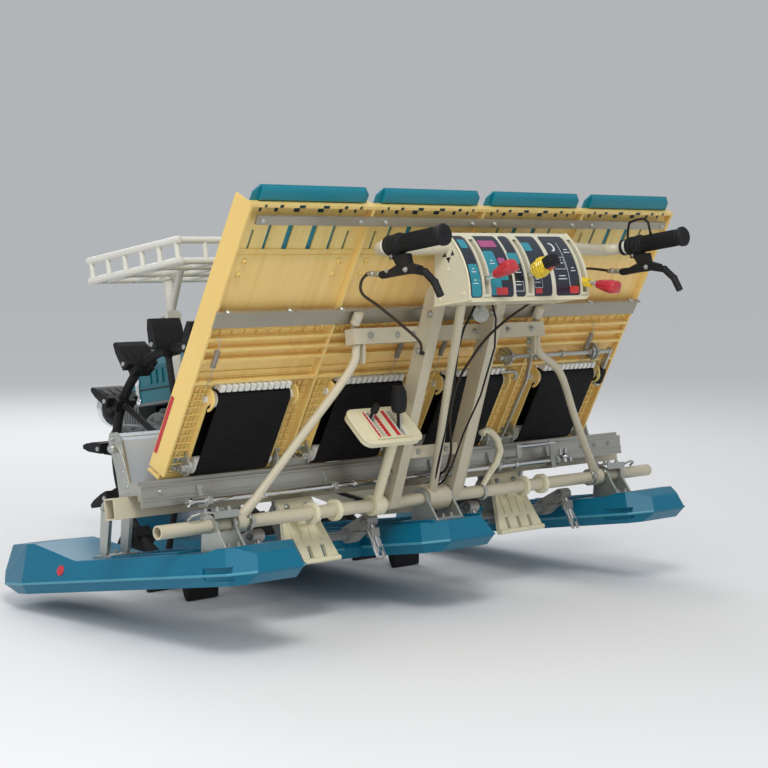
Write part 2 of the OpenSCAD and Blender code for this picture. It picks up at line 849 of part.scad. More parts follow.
module float_main() {
    top = -float_top;
    color(teal) union() {
        intersection() {
            float_hull(-250, main_nose_x, main_w, 150, -30);
            across(main_w) polygon([[-250, -float_bottom], [flat_end_x, -float_bottom],
                                    [flat_end_x + 70, -218], [flat_end_x + 130, -170], [main_nose_x, -70],
                                    [main_nose_x, -43], [main_nose_x - 14, -40], [flat_end_x + 90, -120],
                                    deck_b, deck_a, [180, top], [-250, top]]);
        }
        intersection() {
            float_hull(-467, -120, tail_w, tail_w, top);
            across(tail_w) polygon([[-440, -float_bottom], [-200, -float_bottom], [-200, top],
                                    [-452, top], [-467, -200], [-467, -222]]);
        }
    }
}

module side_float(side) {
    top = -float_top;
    nose_top = top + 38;
    bed = 7;
    pocket_top = -206;
    pocket_low = -230;
    color(teal) translate([0, side * side_float_y, 0]) difference() {
        intersection() {
            float_hull(side_tail_x, side_nose_x, side_float_w, 110, nose_top);
            across(side_float_w) polygon([
                [side_tail_x + 30, -float_bottom], [side_nose_x - 65, -float_bottom],
                [side_nose_x - 24, -222], [side_nose_x, -182], [side_nose_x, nose_top - 16],
                [side_nose_x - 26, nose_top], [side_nose_x - 150, nose_top + 2],
                [-24, top], [bar_x - 50, top], [bar_x - 84, top + bed], [side_tail_x + 42, top + bed],
                [side_tail_x + 12, top - 6], [side_tail_x, -200], [side_tail_x, -222]]);
        }
        for (face = [-1, 1])
            translate([side_tail_x + 34, face * (side_float_w / 2 - 6), pocket_low])
                rotate([0, 0, face * 8])
                    translate([0, -10, 0]) cube([74, 20, pocket_top - pocket_low]);
    }
}

module float_bracket(y, gap) {
    t = 5;
    difference() {
        union() {
            for (d = [-1, 1])
                across(t, y + d * gap / 2) {
                    polygon([[bar_x - 44, -float_top], [bar_x + 30, -float_top],
                             [bar_x + 20, bar_z], [bar_x - 20, bar_z]]);
                    translate([bar_x, bar_z]) circle(r = crossbar_r + 9);
                }
            translate([bar_x - 44, y - gap / 2, -float_top]) cube([74, gap, t]);
        }
        shaft(bar_x, bar_z, crossbar_r + fit_gap, y - gap, y + gap);
    }
}

module float_links() {
    arm_z = beam_z;
    strap_x = -75;
    out_y = side_float_y + 34;
    color("#8fa9b0") {
        for (y = [-side_float_y, side_float_y]) float_bracket(y, 44);
        float_bracket(0, 72);
        both() {
            rod([beam_front + cover_t, out_y, arm_z], [strap_x, out_y, arm_z], 9);
            across(8, out_y) link([strap_x, arm_z], 14, [strap_x + 20, -float_top + 16], 12);
            across(8, out_y - 50) link([strap_x, arm_z], 14, [strap_x + 20, -float_top + 16], 12);
            shaft(strap_x, arm_z, 6, out_y - 56, out_y + 6);
            translate([strap_x - 10, out_y - 60, -float_top]) cube([60, 68, 5]);
        }
        across(50) polygon([[280, -60], [310, -60], [330, deck_z_at(330)], [262, deck_z_at(262)]]);
    }
}

comb_head = [-283, -104];
comb_foot = [-322, -232];
comb_y = 306;
comb_t = 8;

// Soil comb behind a wheel: a flared plate with short slots between its tines
module comb(side) {
    top_w = 92;
    foot_w = 142;
    neck = 42;
    tine_slots = 3;
    slot_len = 34;
    drop = norm(comb_foot - comb_head);
    lean = atan2(comb_foot[0] - comb_head[0], comb_foot[1] - comb_head[1]);
    arm_t = 10;
    color(cream) difference() {
        union() {
            translate([comb_head[0], side * comb_y, comb_head[1]])
                rotate([0, lean, 0])
                    rotate([0, -90, 0])
                        translate([0, 0, -comb_t / 2])
                            linear_extrude(comb_t)
                                polygon([[0, -top_w / 2], [neck, -top_w / 2], [drop, -foot_w / 2],
                                         [drop, foot_w / 2], [neck, top_w / 2], [0, top_w / 2]]);
            for (d = [-30, 30]) across(arm_t, side * comb_y + d) {
                translate([bar_x, bar_z]) circle(r = crossbar_r + 8);
                polygon([[bar_x, bar_z - 12], [comb_head[0] - 16, bar_z - 12],
                         [comb_head[0] - 8, bar_z + 6], [bar_x, bar_z + 6]]);
            }
        }
        shaft(bar_x, bar_z, crossbar_r + fit_gap, side * comb_y - foot_w / 2, side * comb_y + foot_w / 2);
        translate([comb_head[0], side * comb_y, comb_head[1]])
            rotate([0, lean, 0])
                for (i = [0:tine_slots - 1])
                    translate([-comb_t, (i - (tine_slots - 1) / 2) * foot_w / (tine_slots + 1) - 5,
                               drop - slot_len])
                        cube([2 * comb_t, 10, slot_len - 8]);
    }
}

// Seedling tray and what rides on it

slots = [[-115, 14, 40], [-78, 26, 58], [-28, 38, 58], [28, 38, 58], [78, 26, 58], [115, 14, 40]];
slot_foot = tray_len - 95;
belt_low = 30;
belt_high = 172;
roller_z = 6;
open_low = 8;
open_high = belt_high + belt_r + 4;
open_w = belt_w + 6;

module tray() {
    color(cream) on_tray() difference() {
        union() {
            translate([0, -tray_w / 2, -skin_t]) cube([tray_len, tray_w, skin_t]);
            for (i = [0:rows])
                translate([12, (i - rows / 2) * row_pitch - (i == rows ? 5 : i == 0 ? 0 : 2.5), 0]) {
                    translate([0, 0, -wall_h]) cube([tray_len - 12, 5, wall_h]);
                    translate([0, 0, -cut]) cube([tray_len - 12, 5, rib_h + cut]);
                }
            translate([0, -tray_w / 2, -wall_h]) cube([6, tray_w, wall_h]);
            for (v = [206, 252, 274, 296, tray_len - 6])
                translate([v, -tray_w / 2, -cut]) cube([6, tray_w, rib_h + cut]);
        }
        for (i = [0:rows - 1]) translate([0, bay_y(i), 0]) {
            translate([open_low, -open_w / 2, -skin_t - cut])
                cube([open_high - open_low, open_w, skin_t + 2 * cut]);
            for (s = slots)
                translate([slot_foot, s[0] - s[1] / 2, -skin_t - cut]) cube([s[2], s[1], skin_t + 2 * cut]);
            translate([-cut, -14, -wall_h - cut]) cube([8, 28, wall_h - skin_t]);
        }
    }
}

module tray_extensions() {
    gap = 10;
    plate_foot = tray_len - 118;
    w = row_pitch - 2 * gap;
    color(teal) on_tray()
        for (i = [0:rows - 1])
            translate([0, bay_y(i), -skin_t - 3])
                linear_extrude(3)
                    polygon([[plate_foot, -w / 2], [tray_len + extension_h - 14, -w / 2],
                             [tray_len + extension_h, 14 - w / 2],
                             [tray_len + extension_h, w / 2 - 14],
                             [tray_len + extension_h - 14, w / 2], [plate_foot, w / 2]]);
}

module stadium(r) {
    translate([belt_low, roller_z]) circle(r = r);
    translate([belt_high, roller_z]) circle(r = r);
    translate([belt_low, roller_z - r]) square([belt_high - belt_low, 2 * r]);
}

module feed_belts() {
    color(dark) on_tray()
        for (i = [0:rows - 1])
            across(belt_w, bay_y(i)) difference() {
                stadium(belt_r);
                stadium(belt_r - belt_t);
            }
}

module belt_rollers() {
    roller_r = belt_r - belt_t - fit_gap;
    pin_r = 4;
    hook_in = open_w / 2 + 2;
    hook_t = 7;
    color("#f2efe6") on_tray()
        for (i = [0:rows - 1], v = [belt_low, belt_high]) translate([v, bay_y(i), 0]) {
            shaft(0, roller_z, roller_r, -belt_w / 2, belt_w / 2);
            shaft(0, roller_z, pin_r, -hook_in - hook_t, hook_in + hook_t);
            for (d = [-1, 1])
                across(hook_t, d * (hook_in + hook_t / 2)) intersection() {
                    translate([0, roller_z]) circle(r = 10);
                    translate([-10, 0]) square([20, 20]);
                }
        }
}

module tray_bars() {
    inset = 20;
    w = tray_w - 2 * inset;
    color(steel) on_tray() {
        translate([tray_len - 37, -w / 2, rib_h]) cube([17, w, 6]);
        translate([324, -tray_w / 2, rib_h]) cube([34, tray_w, 3]);
        translate([355, -tray_w / 2, rib_h]) cube([3, tray_w, 10]);
    }
}

module feed_shaft() {
    v = 234;
    z = rib_h + 8;
    crank_y = -562;
    color(steel) on_tray() {
        shaft(v, z, 5, -205, crank_y);
        for (y = [-225, -505])
            translate([v - 8, y, 0]) cube([16, 10, rib_h + 14]);
        translate([v - 50, crank_y - 3, rib_h + 2]) cube([58, 6, 12]);
        translate([v - 84, crank_y, z + 1]) rotate([0, 90, 0]) cylinder(h = 36, r = 8);
    }
}

parked() transmission();
parked() engine_block();
parked() bonnet();
parked() headlamp();
parked() seedling_rack();
parked() lift_arm();  // lift_arm_left
parked() mirror([0, 1, 0]) lift_arm();  // lift_arm_right
parked() wheel(1);  // wheel_left
parked() wheel(-1);  // wheel_right
parked() lift_cylinder();
parked() frame_tube();
parked() cross_beam();
parked() slide_rail();
parked() end_arms();
parked() front_cover();
parked() crossbar();
parked() braces();
parked() handle_posts();
parked() tray_support();
parked() control_box();
parked() panel_levers();
parked() color(frame_paint) handlebar(box_w / 2 + box_y);  // handlebar_left
parked() color(frame_paint)  // handlebar_right
    mirror([0, 1, 0]) handlebar(box_w / 2 - box_y);
parked() grip();  // grip_left
parked() mirror([0, 1, 0]) grip();  // grip_right
parked() clutch_levers();
parked() cable(left_route);  // cable_left
parked() cable(right_route);  // cable_right
parked() lever_console();
parked() console_levers();
parked() control_rods();
parked() planting_case(1);  // planting_case_left
parked() planting_case(-1);  // planting_case_right
parked() planting_arms();
parked() float_main();
parked() side_float(1);  // float_left
parked() side_float(-1);  // float_right
parked() float_links();
parked() comb(1);  // comb_left
parked() comb(-1);  // comb_right
parked() tray();
parked() tray_extensions();
parked() feed_belts();
parked() belt_rollers();
parked() tray_bars();
parked() feed_shaft();
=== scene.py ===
# %% [markdown]
# # A walk-behind rice transplanter, dressed in Blender
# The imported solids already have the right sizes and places. This lesson adds what a solid model
# can't hold: paint, rubber, moulded plastic, fasteners, belts with cleats and the small fittings.
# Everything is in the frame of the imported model, so nothing has to be fitted by eye.

# %% Load the frame
import bpy
import bmesh
import json
import math
import random
from mathutils import Matrix, Vector


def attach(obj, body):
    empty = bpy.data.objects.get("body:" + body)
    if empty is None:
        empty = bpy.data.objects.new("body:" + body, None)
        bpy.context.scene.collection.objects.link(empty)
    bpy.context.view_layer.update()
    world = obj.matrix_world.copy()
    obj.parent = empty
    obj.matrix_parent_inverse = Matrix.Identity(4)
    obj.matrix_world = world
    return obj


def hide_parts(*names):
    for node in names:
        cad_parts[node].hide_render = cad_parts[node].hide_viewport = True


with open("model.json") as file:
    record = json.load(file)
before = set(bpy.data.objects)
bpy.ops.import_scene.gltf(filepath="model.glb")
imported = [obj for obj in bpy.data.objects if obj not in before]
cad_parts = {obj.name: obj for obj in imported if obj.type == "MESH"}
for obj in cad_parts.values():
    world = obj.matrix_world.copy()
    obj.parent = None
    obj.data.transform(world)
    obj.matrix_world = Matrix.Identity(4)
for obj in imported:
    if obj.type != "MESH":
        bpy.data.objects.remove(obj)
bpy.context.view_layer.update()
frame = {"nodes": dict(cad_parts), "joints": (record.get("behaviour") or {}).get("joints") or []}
nodes = frame["nodes"]

# %% [markdown]
# The machine is parked nose-down. Its parts are easier to think about on a level machine, so two
# matrices carry level coordinates to the parked one: LEVEL for the frame, and TRAY for the sloped
# seedling tray, whose x runs up the slope and whose z comes out of its back. The axle's place is
# read from the wheel's own joint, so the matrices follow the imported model.

# %% Two working frames
MM = 0.001
PITCH = math.radians(9.3208)
AXLE_X = 55
wheel_joint = [j for j in frame["joints"] if j["name"] == "wheel_left_spin"][0]
axle = Vector((wheel_joint["pos_m"][0], 0.0, wheel_joint["pos_m"][2]))
LEVEL = Matrix.Translation(axle) @ Matrix.Rotation(PITCH, 4, "Y") @ Matrix.Translation((-AXLE_X * MM, 0, 0))
TRAY_SLOPE = math.radians(54.7)
TRAY_FOOT = Vector((-288, 35, -40)) * MM
TRAY = LEVEL @ Matrix.Translation(TRAY_FOOT) @ Matrix.Rotation(TRAY_SLOPE - math.pi, 4, "Y")
print("axle at", [round(v, 4) for v in axle])

# %% [markdown]
# The picture was taken from behind the machine and to its left, with the lens at hip height. The
# direction comes from where the lines across the machine and along it would meet in the picture.
# A long lens keeps those lines nearly parallel, so the camera is far away and the view is narrow.

# %% Camera
IMAGE = 768
FOCAL_PX = 1937
SENSOR = 36.0
EYE = Vector((-3.081, 2.831, 0.770))
HEADING = math.radians(-44.7)
DOWN = math.radians(4.57)
ROLL = math.radians(0.61)
camera_data = bpy.data.cameras.new("camera")
camera_data.sensor_width = SENSOR
camera_data.lens = FOCAL_PX / IMAGE * SENSOR
camera = bpy.data.objects.new("camera", camera_data)
bpy.context.scene.collection.objects.link(camera)
look = Vector((math.cos(HEADING) * math.cos(DOWN), math.sin(HEADING) * math.cos(DOWN), -math.sin(DOWN)))
camera.rotation_mode = "QUATERNION"
camera.rotation_quaternion = look.to_track_quat("-Z", "Y") @ Matrix.Rotation(ROLL, 3, "Z").to_quaternion()
camera.location = EYE
bpy.context.scene.camera = camera
print("lens", round(camera_data.lens, 1), "mm")

# %% [markdown]
# Materials and the world are graphs of nodes. This helper gives a node's inputs their values, or
# wires them to another node's output, so that each graph below reads as what feeds what.

# %% Node helper
def feed(tree, node, inputs):
    for name, source in inputs.items():
        if isinstance(source, bpy.types.NodeSocket):
            tree.links.new(source, node.inputs[name])
        else:
            node.inputs[name].default_value = source
    return node


def node_material(name):
    material = bpy.data.materials.new(name)
    material.use_nodes = True
    return material, material.node_tree


print("materials so far", len(bpy.data.materials))

# %% [markdown]
# A pale, dull floor carries the shadows. It isn't part of the machine.

# %% Floor
FLOOR_HALF = 30.0
FLOOR_GREY = 0.80
floor_mesh = bpy.data.meshes.new("floor")
floor_corners = [(-1, -1), (1, -1), (1, 1), (-1, 1)]
floor_mesh.from_pydata([(x * FLOOR_HALF, y * FLOOR_HALF, 0) for x, y in floor_corners], [], [(0, 1, 2, 3)])
floor = bpy.data.objects.new("floor", floor_mesh)
bpy.context.scene.collection.objects.link(floor)
floor_paint, tree = node_material("floor_pale")
feed(tree, tree.nodes["Principled BSDF"], {"Base Color": (FLOOR_GREY, FLOOR_GREY, FLOOR_GREY, 1),
                                           "Roughness": 0.95, "Specular IOR Level": 0.0})
floor_mesh.materials.append(floor_paint)
print("floor", 2 * FLOOR_HALF, "m wide")

# %% [markdown]
# The sky lights the machine from all sides. What the camera or a shiny surface sees of it has its own
# strength, so that the background meets the floor without a hard line.

# %% Sky
SKY = (0.93, 0.96, 1.0, 1)
LIT_STRENGTH = 0.60
SEEN_STRENGTH = 0.48
world = bpy.data.worlds.new("studio")
bpy.context.scene.world = world
world.use_nodes = True
tree = world.node_tree
lit = feed(tree, tree.nodes["Background"], {"Color": SKY, "Strength": LIT_STRENGTH})
seen = feed(tree, tree.nodes.new("ShaderNodeBackground"), {"Color": SKY, "Strength": SEEN_STRENGTH})
path = tree.nodes.new("ShaderNodeLightPath")
either = tree.nodes.new("ShaderNodeMath")
either.operation = "MAXIMUM"
feed(tree, either, {0: path.outputs["Is Camera Ray"], 1: path.outputs["Is Glossy Ray"]})
mix = tree.nodes.new("ShaderNodeMixShader")
feed(tree, mix, {0: either.outputs[0], 1: lit.outputs[0], 2: seen.outputs[0]})
feed(tree, tree.nodes["World Output"], {0: mix.outputs[0]})
print("sky", LIT_STRENGTH, "on the machine and", SEEN_STRENGTH, "in the picture")

# %% [markdown]
# Three big soft lamps stand in for a bright, overcast yard: the key from behind and to the left, as
# in the photograph, a weak fill from the side, and one from the front for the views of the nose.

# %% Lamps
LAMPS = {  # place, aim, size in metres, power in watts
    "key": ((-2.4, 1.8, 3.4), (-0.2, 0, 0.3), 1.3, 70),
    "fill": ((-0.5, 3.6, 1.8), (0, 0, 0.4), 2.4, 24),
    "front": ((3.2, -1.6, 2.8), (0, 0, 0.4), 2.2, 50),
}
for name, (place, aim, size, power) in LAMPS.items():
    lamp_data = bpy.data.lights.new(name, "AREA")
    lamp_data.shape = "SQUARE"
    lamp_data.size = size
    lamp_data.energy = power
    lamp = bpy.data.objects.new(name, lamp_data)
    lamp.location = place
    lamp.rotation_euler = (Vector(aim) - Vector(place)).to_track_quat("-Z", "Y").to_euler()
    bpy.context.scene.collection.objects.link(lamp)
bpy.context.scene.view_settings.view_transform = "Standard"
print("lamps", len(LAMPS))

# %% [markdown]
# Three small graphs come back in every finish: a noise, a change of range and a mix of two colours.

# %% Noise, range and mix
def noise(tree, place, scale, detail):
    node = tree.nodes.new("ShaderNodeTexNoise")
    return feed(tree, node, {"Vector": place, "Scale": scale, "Detail": detail}).outputs["Fac"]


def spread(tree, value, taken, given):
    node = tree.nodes.new("ShaderNodeMapRange")
    feed(tree, node, {"Value": value, "From Min": taken[0], "From Max": taken[1],
                      "To Min": given[0], "To Max": given[1]})
    return node.outputs["Result"]


def colour_mix(tree, share, first, second):
    node = tree.nodes.new("ShaderNodeMix")
    node.data_type = "RGBA"
    return feed(tree, node, {"Factor": share, "A": first, "B": second}).outputs["Result"]


print("graphs ready")

# %% [markdown]
# One recipe makes every finish. A slow noise shifts the colour and the gloss a little, a fast noise
# roughens the surface, soil gathers in spots, and the Bevel node rounds the shading along sharp
# edges, as paint and moulding do.

# %% Finish recipe
DIRT = (0.20, 0.16, 0.11, 1)


def finish(name, colour, rough=0.5, metal=0.0, vary=0.06, grime=0.0, grain=400.0, bump=0.02,
           edge=0.0012, coat=0.0, patch=6.0, sub=0.0, shine=0.5):
    material, tree = node_material(name)
    shader = tree.nodes["Principled BSDF"]
    place = tree.nodes.new("ShaderNodeTexCoord").outputs["Object"]
    slow = noise(tree, place, patch, 4)
    low = [max(0.0, c * (1 - vary)) for c in colour]
    high = [min(1.0, c * (1 + vary)) for c in colour]
    base = colour_mix(tree, slow, (*low, 1), (*high, 1))
    if grime:
        spots = spread(tree, noise(tree, place, patch * 5, 6), (0.52, 0.75), (0, grime))
        base = colour_mix(tree, spots, base, DIRT)
    gloss = spread(tree, slow, (0, 1), (max(0.05, rough - 0.08), min(1.0, rough + 0.08)))
    dent = tree.nodes.new("ShaderNodeBump")
    feed(tree, dent, {"Strength": bump * 10, "Distance": 0.0003, "Height": noise(tree, place, grain, 2)})
    if edge:
        rounding = tree.nodes.new("ShaderNodeBevel")
        rounding.samples = 4
        feed(tree, rounding, {"Radius": edge})
        feed(tree, dent, {"Normal": rounding.outputs["Normal"]})
    feed(tree, shader, {"Base Color": base, "Roughness": gloss, "Normal": dent.outputs["Normal"],
                        "Metallic": metal, "Specular IOR Level": shine,
                        "Coat Weight": coat, "Coat Roughness": 0.15})
    if sub:
        feed(tree, shader, {"Subsurface Weight": sub, "Subsurface Scale": 0.02})
    return material


trial = finish("trial", (0.5, 0.5, 0.5), grime=0.1)
print("a finish is a graph of", len(trial.node_tree.nodes), "nodes")
bpy.data.materials.remove(trial)

# %% [markdown]
# Each paint, plastic and metal of the machine gets one named finish. Two of them are painted light:
# shade for the slot ends at the tray's top and a highlight for the floats' parting line.

# %% Finishes of the machine
FRAME_PAINT = finish("frame_paint", (0.59, 0.53, 0.385), rough=0.36, coat=0.25, grime=0.10)
TEAL_PAINT = finish("teal_paint", (0.004, 0.15, 0.19), rough=0.3, coat=0.4)
RACK_WHITE = finish("rack_white", (0.72, 0.70, 0.62), rough=0.4, coat=0.2)
CAST_METAL = finish("cast_metal", (0.21, 0.22, 0.22), rough=0.52, metal=0.3, vary=0.14, grime=0.2)
ENGINE_DARK = finish("engine_dark", (0.014, 0.014, 0.016), rough=0.45, vary=0.2, grime=0.06, shine=0.35)
ALUMINIUM = finish("aluminium", (0.50, 0.49, 0.44), rough=0.34, metal=0.9, vary=0.08)
GALVANISED = finish("galvanised", (0.50, 0.51, 0.47), rough=0.38, metal=0.85, vary=0.14, patch=20)
ARM_METAL = finish("arm_metal", (0.40, 0.38, 0.35), rough=0.45, metal=0.5)
BAR_STEEL = finish("bar_steel", (0.38, 0.35, 0.28), rough=0.42, metal=0.6, vary=0.12, patch=14)
COVER = finish("pale_sheet", (0.56, 0.62, 0.68), rough=0.3, metal=0.35, vary=0.05, patch=10)
RUBBER = finish("rubber", (0.010, 0.010, 0.011), rough=0.6, vary=0.25, bump=0.05, grime=0.05, shine=0.3)
BELT = finish("belt_rubber", (0.006, 0.006, 0.007), rough=0.6, bump=0.06, grime=0.03, shine=0.2)
TEAL_PLASTIC = finish("teal_plastic", (0.001, 0.145, 0.245), rough=0.38, grime=0.02, bump=0.03, shine=0.3)
LIP_TEAL = finish("lip_teal", (0.006, 0.20, 0.27), rough=0.36, grime=0.02, bump=0.03, shine=0.4)
# painted shade: a near-black teal for the open slot ends at the tray's top
SLOT_SHADE_PAINT = finish("painted_slot_shade", (0.002, 0.035, 0.05), rough=0.45, shine=0.3)
# painted highlight: a lighter teal for the floats' parting line, where the crease catches the light
FLOAT_SEAM_HIGHLIGHT = finish("teal_seam_painted_highlight", (0.06, 0.30, 0.40), rough=0.35)
CREAM_PLASTIC = finish("cream_plastic", (0.78, 0.72, 0.50), rough=0.35, coat=0.2)
BOX_PLASTIC = finish("box_plastic", (0.70, 0.66, 0.50), rough=0.35, coat=0.2)
KNOB_RED = finish("knob_red", (0.52, 0.02, 0.03), rough=0.25, coat=0.4)
NYLON = finish("white_nylon", (0.80, 0.79, 0.73), rough=0.4)
print("finishes", len(bpy.data.materials) - 1)

# %% [markdown]
# The tray's plastic lets a little light through. It also gets faint darker streaks that run up its
# slope, painted shade of the fine ribs along it.

# %% Tray plastic
TRAY_PLASTIC = finish("tray_plastic", (0.86, 0.62, 0.22), rough=0.33, coat=0.15, sub=0.15, edge=0.0008,
                      shine=0.35)


def painted_rib_shade(material, colour, share):
    tree = material.node_tree
    shader = tree.nodes["Principled BSDF"]
    before = shader.inputs["Base Color"].links[0].from_socket
    place = tree.nodes.new("ShaderNodeTexCoord").outputs["Object"]
    stretch = feed(tree, tree.nodes.new("ShaderNodeMapping"), {"Vector": place, "Scale": (1.5, 48.0, 1.5)})
    lines = spread(tree, noise(tree, stretch.outputs["Vector"], 1.0, 5), (0.45, 0.75), (0, share))
    feed(tree, shader, {"Base Color": colour_mix(tree, lines, before, colour)})


# painted shade: darker streaks up the slope stand in for the shadows of fine ribs
painted_rib_shade(TRAY_PLASTIC, (0.70, 0.42, 0.10, 1), 0.45)
print("tray plastic has", len(TRAY_PLASTIC.node_tree.nodes), "nodes")

# %% [markdown]
# A solid that already has the right shape only needs its finish. The table says which one.

# %% Finishes on the solids
NODE_FINISH = {
    "transmission": CAST_METAL, "engine_block": ENGINE_DARK, "bonnet": TEAL_PAINT, "headlamp": ENGINE_DARK,
    "seedling_rack": RACK_WHITE, "lift_arm_left": CAST_METAL, "lift_arm_right": CAST_METAL,
    "wheel_left": RUBBER, "wheel_right": RUBBER, "lift_cylinder": ENGINE_DARK, "frame_tube": FRAME_PAINT,
    "cross_beam": FRAME_PAINT, "slide_rail": ALUMINIUM, "end_arms": GALVANISED, "front_cover": COVER,
    "crossbar": FRAME_PAINT, "braces": FRAME_PAINT, "handle_posts": FRAME_PAINT, "tray_support": FRAME_PAINT,
    "control_box": BOX_PLASTIC, "panel_levers": KNOB_RED, "handlebar_left": FRAME_PAINT,
    "handlebar_right": FRAME_PAINT, "grip_left": RUBBER, "grip_right": RUBBER, "clutch_levers": RUBBER,
    "cable_left": RUBBER, "cable_right": RUBBER, "lever_console": CREAM_PLASTIC, "console_levers": RUBBER,
    "control_rods": FRAME_PAINT, "planting_case_left": CAST_METAL, "planting_case_right": CAST_METAL,
    "planting_arms": ARM_METAL, "float_main": TEAL_PLASTIC, "float_left": TEAL_PLASTIC,
    "float_right": TEAL_PLASTIC, "float_links": GALVANISED, "comb_left": CREAM_PLASTIC,
    "comb_right": CREAM_PLASTIC, "tray": TRAY_PLASTIC, "tray_extensions": LIP_TEAL,
    "feed_belts": BELT, "belt_rollers": NYLON, "tray_bars": BAR_STEEL, "feed_shaft": GALVANISED,
}
for name, material in NODE_FINISH.items():
    nodes[name].data.materials.clear()
    nodes[name].data.materials.append(material)
print("dressed", len(NODE_FINISH), "of", len(nodes))

# %% [markdown]
# Added pieces are drawn in millimetres in a working frame, from a few shapes. A shape is a list of
# corners and a list of faces. The first two are a block, and a plate: an outline seen from the side,
# with its x and z, that fills the room between two places across the machine.

# %% Block and plate
def block(low, high):
    corners = [(x, y, z) for x in (low[0], high[0]) for y in (low[1], high[1]) for z in (low[2], high[2])]
    return corners, [(0, 1, 3, 2), (4, 6, 7, 5), (0, 4, 5, 1), (2, 3, 7, 6), (0, 2, 6, 4), (1, 5, 7, 3)]


def plate(outline, near, far):
    corners = [(x, y, z) for y in (near, far) for x, z in outline]
    count = len(outline)
    sides = [(i, (i + 1) % count, count + (i + 1) % count, count + i) for i in range(count)]
    return corners, [tuple(range(count)), tuple(range(count, 2 * count))] + sides


print("a block has", len(block((0, 0, 0), (1, 1, 1))[1]), "faces")

# %% [markdown]
# Round shapes are rings of corners with a skin over them: a tube along a path, with one radius or a
# radius for each point, and a turned part, whose profile gives a radius at each height.

# %% Tube and turned part
def around(count, shift=0.0):
    angles = [2 * math.pi * (k + shift) / count for k in range(count)]
    return [(math.cos(a), math.sin(a)) for a in angles]


def skin(rings, sides):
    faces = []
    for ring in range(rings - 1):
        for k in range(sides):
            here, following = ring * sides + k, ring * sides + (k + 1) % sides
            faces.append((here, following, following + sides, here + sides))
    last = (rings - 1) * sides
    return faces + [tuple(range(sides)), tuple(range(last, last + sides))]


def tube(points, radius, sides=10):
    points = [Vector(p) for p in points]
    radii = radius if isinstance(radius, (list, tuple)) else [radius] * len(points)
    side = (points[1] - points[0]).normalized().orthogonal().normalized()
    corners = []
    for i, point in enumerate(points):
        ahead = (points[min(i + 1, len(points) - 1)] - points[max(i - 1, 0)]).normalized()
        side = (side - ahead * side.dot(ahead)).normalized()
        other = ahead.cross(side)
        corners += [tuple(point + (side * c + other * s) * radii[i]) for c, s in around(sides)]
    return corners, skin(len(points), sides)


def turned(profile, base, toward, sides=24):
    toward = Vector(toward).normalized()
    side = toward.orthogonal().normalized()
    other = toward.cross(side)
    corners = []
    for radius, height in profile:
        middle = Vector(base) + toward * height
        corners += [tuple(middle + (side * c + other * s) * max(radius, 0.01)) for c, s in around(sides, 0.5)]
    return corners, skin(len(profile), sides)


print("a tube has", len(tube([(0, 0, 0), (0, 0, 1)], 1)[1]), "faces")

# %% [markdown]
# A piece is its shapes joined into one mesh, bevelled a little, and handed to the body that it rides
# on. Both halves of the machine carry the same small parts, so a helper adds the mirror image.

# %% Joining shapes into a piece
made = []


def join(shapes):
    corners, faces = [], []
    for more_corners, more_faces in shapes:
        faces += [tuple(i + len(corners) for i in face) for face in more_faces]
        corners += more_corners
    return corners, faces


def both_sides(shapes):
    return shapes + [([(x, -y, z) for x, y, z in corners], faces) for corners, faces in shapes]


def piece(name, shapes, material, body, axes=LEVEL, bevel=0.0, smooth_faces=True):
    corners, faces = join(shapes)
    mesh = bpy.data.meshes.new(name)
    mesh.from_pydata([tuple(axes @ (Vector(p) * MM)) for p in corners], [], faces)
    work = bmesh.new()
    work.from_mesh(mesh)
    bmesh.ops.recalc_face_normals(work, faces=work.faces)
    work.to_mesh(mesh)
    work.free()
    if smooth_faces:
        mesh.shade_smooth()
        mesh.set_sharp_from_angle(angle=math.radians(35))
    thing = bpy.data.objects.new(name, mesh)
    bpy.context.scene.collection.objects.link(thing)
    mesh.materials.append(material)
    if bevel:
        edge = thing.modifiers.new("edge", "BEVEL")
        edge.width = bevel * MM
        edge.segments = 2
        edge.limit_method = "ANGLE"
        edge.angle_limit = math.radians(40)
        edge.harden_normals = True
    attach(thing, body)
    made.append(name)
    return thing


print("pieces so far", len(made))

# %% [markdown]
# The tray is one thin moulding. On its back a guide stands on both sides of every belt, with a hook
# over the top roller and a ladder of small ribs between the belt and the walls of its bay. A place on
# the tray is u up the slope, v across and w out of its back.

# %% Belt guides
ROWS = 4
ROW_PITCH = 300
BAYS = [(i - (ROWS - 1) / 2) * ROW_PITCH for i in range(ROWS)]
BELT_HALF = 87.5
BELT_LOW, BELT_HIGH, ROLLER_W = 30.0, 172.0, 6.0
GUIDE_LOW, GUIDE_HIGH = 15, 204
BAY_WALL = 141


def arc(centre, radius, first, last, step):
    angles = [math.radians(d) for d in range(first, last, step)]
    return [(centre[0] + radius * math.cos(a), centre[1] + radius * math.sin(a)) for a in angles]


top_roller = (BELT_HIGH, ROLLER_W)
hook = arc(top_roller, 24, -10, 141, 15) + arc(top_roller, 19, 140, 80, -15)
guide = [(GUIDE_LOW, 0), (GUIDE_HIGH, 0)] + hook + [(BELT_HIGH, 22), (160, 14), (GUIDE_LOW, 14)]
guides = []
for bay in BAYS:
    for side in (-1, 1):
        near = bay + side * (BELT_HALF + 13)
        guides.append(plate(guide, near, near + side * 4))
        low, high = sorted((near, near + side * 12))
        guides.append(block((GUIDE_LOW, low, 0), (200, high, 2)))
        low, high = sorted((near + side * 4, bay + side * BAY_WALL))
        for u in range(18, 200, 15):
            guides.append(block((u, low, 0), (u + 2, high, 5)))
        for v in (near + side * 18, near + side * 31):
            guides.append(block((16, v, 0), (200, v + 2, 4)))
piece("tray_belt_guides", guides, TRAY_PLASTIC, "seedling_tray", TRAY, bevel=0.5)
print("guides", 2 * len(BAYS), "shapes", len(guides))

# %% [markdown]
# Higher up, each bay has screw bosses and thin ribs across, and a row of short ribs under the bar.

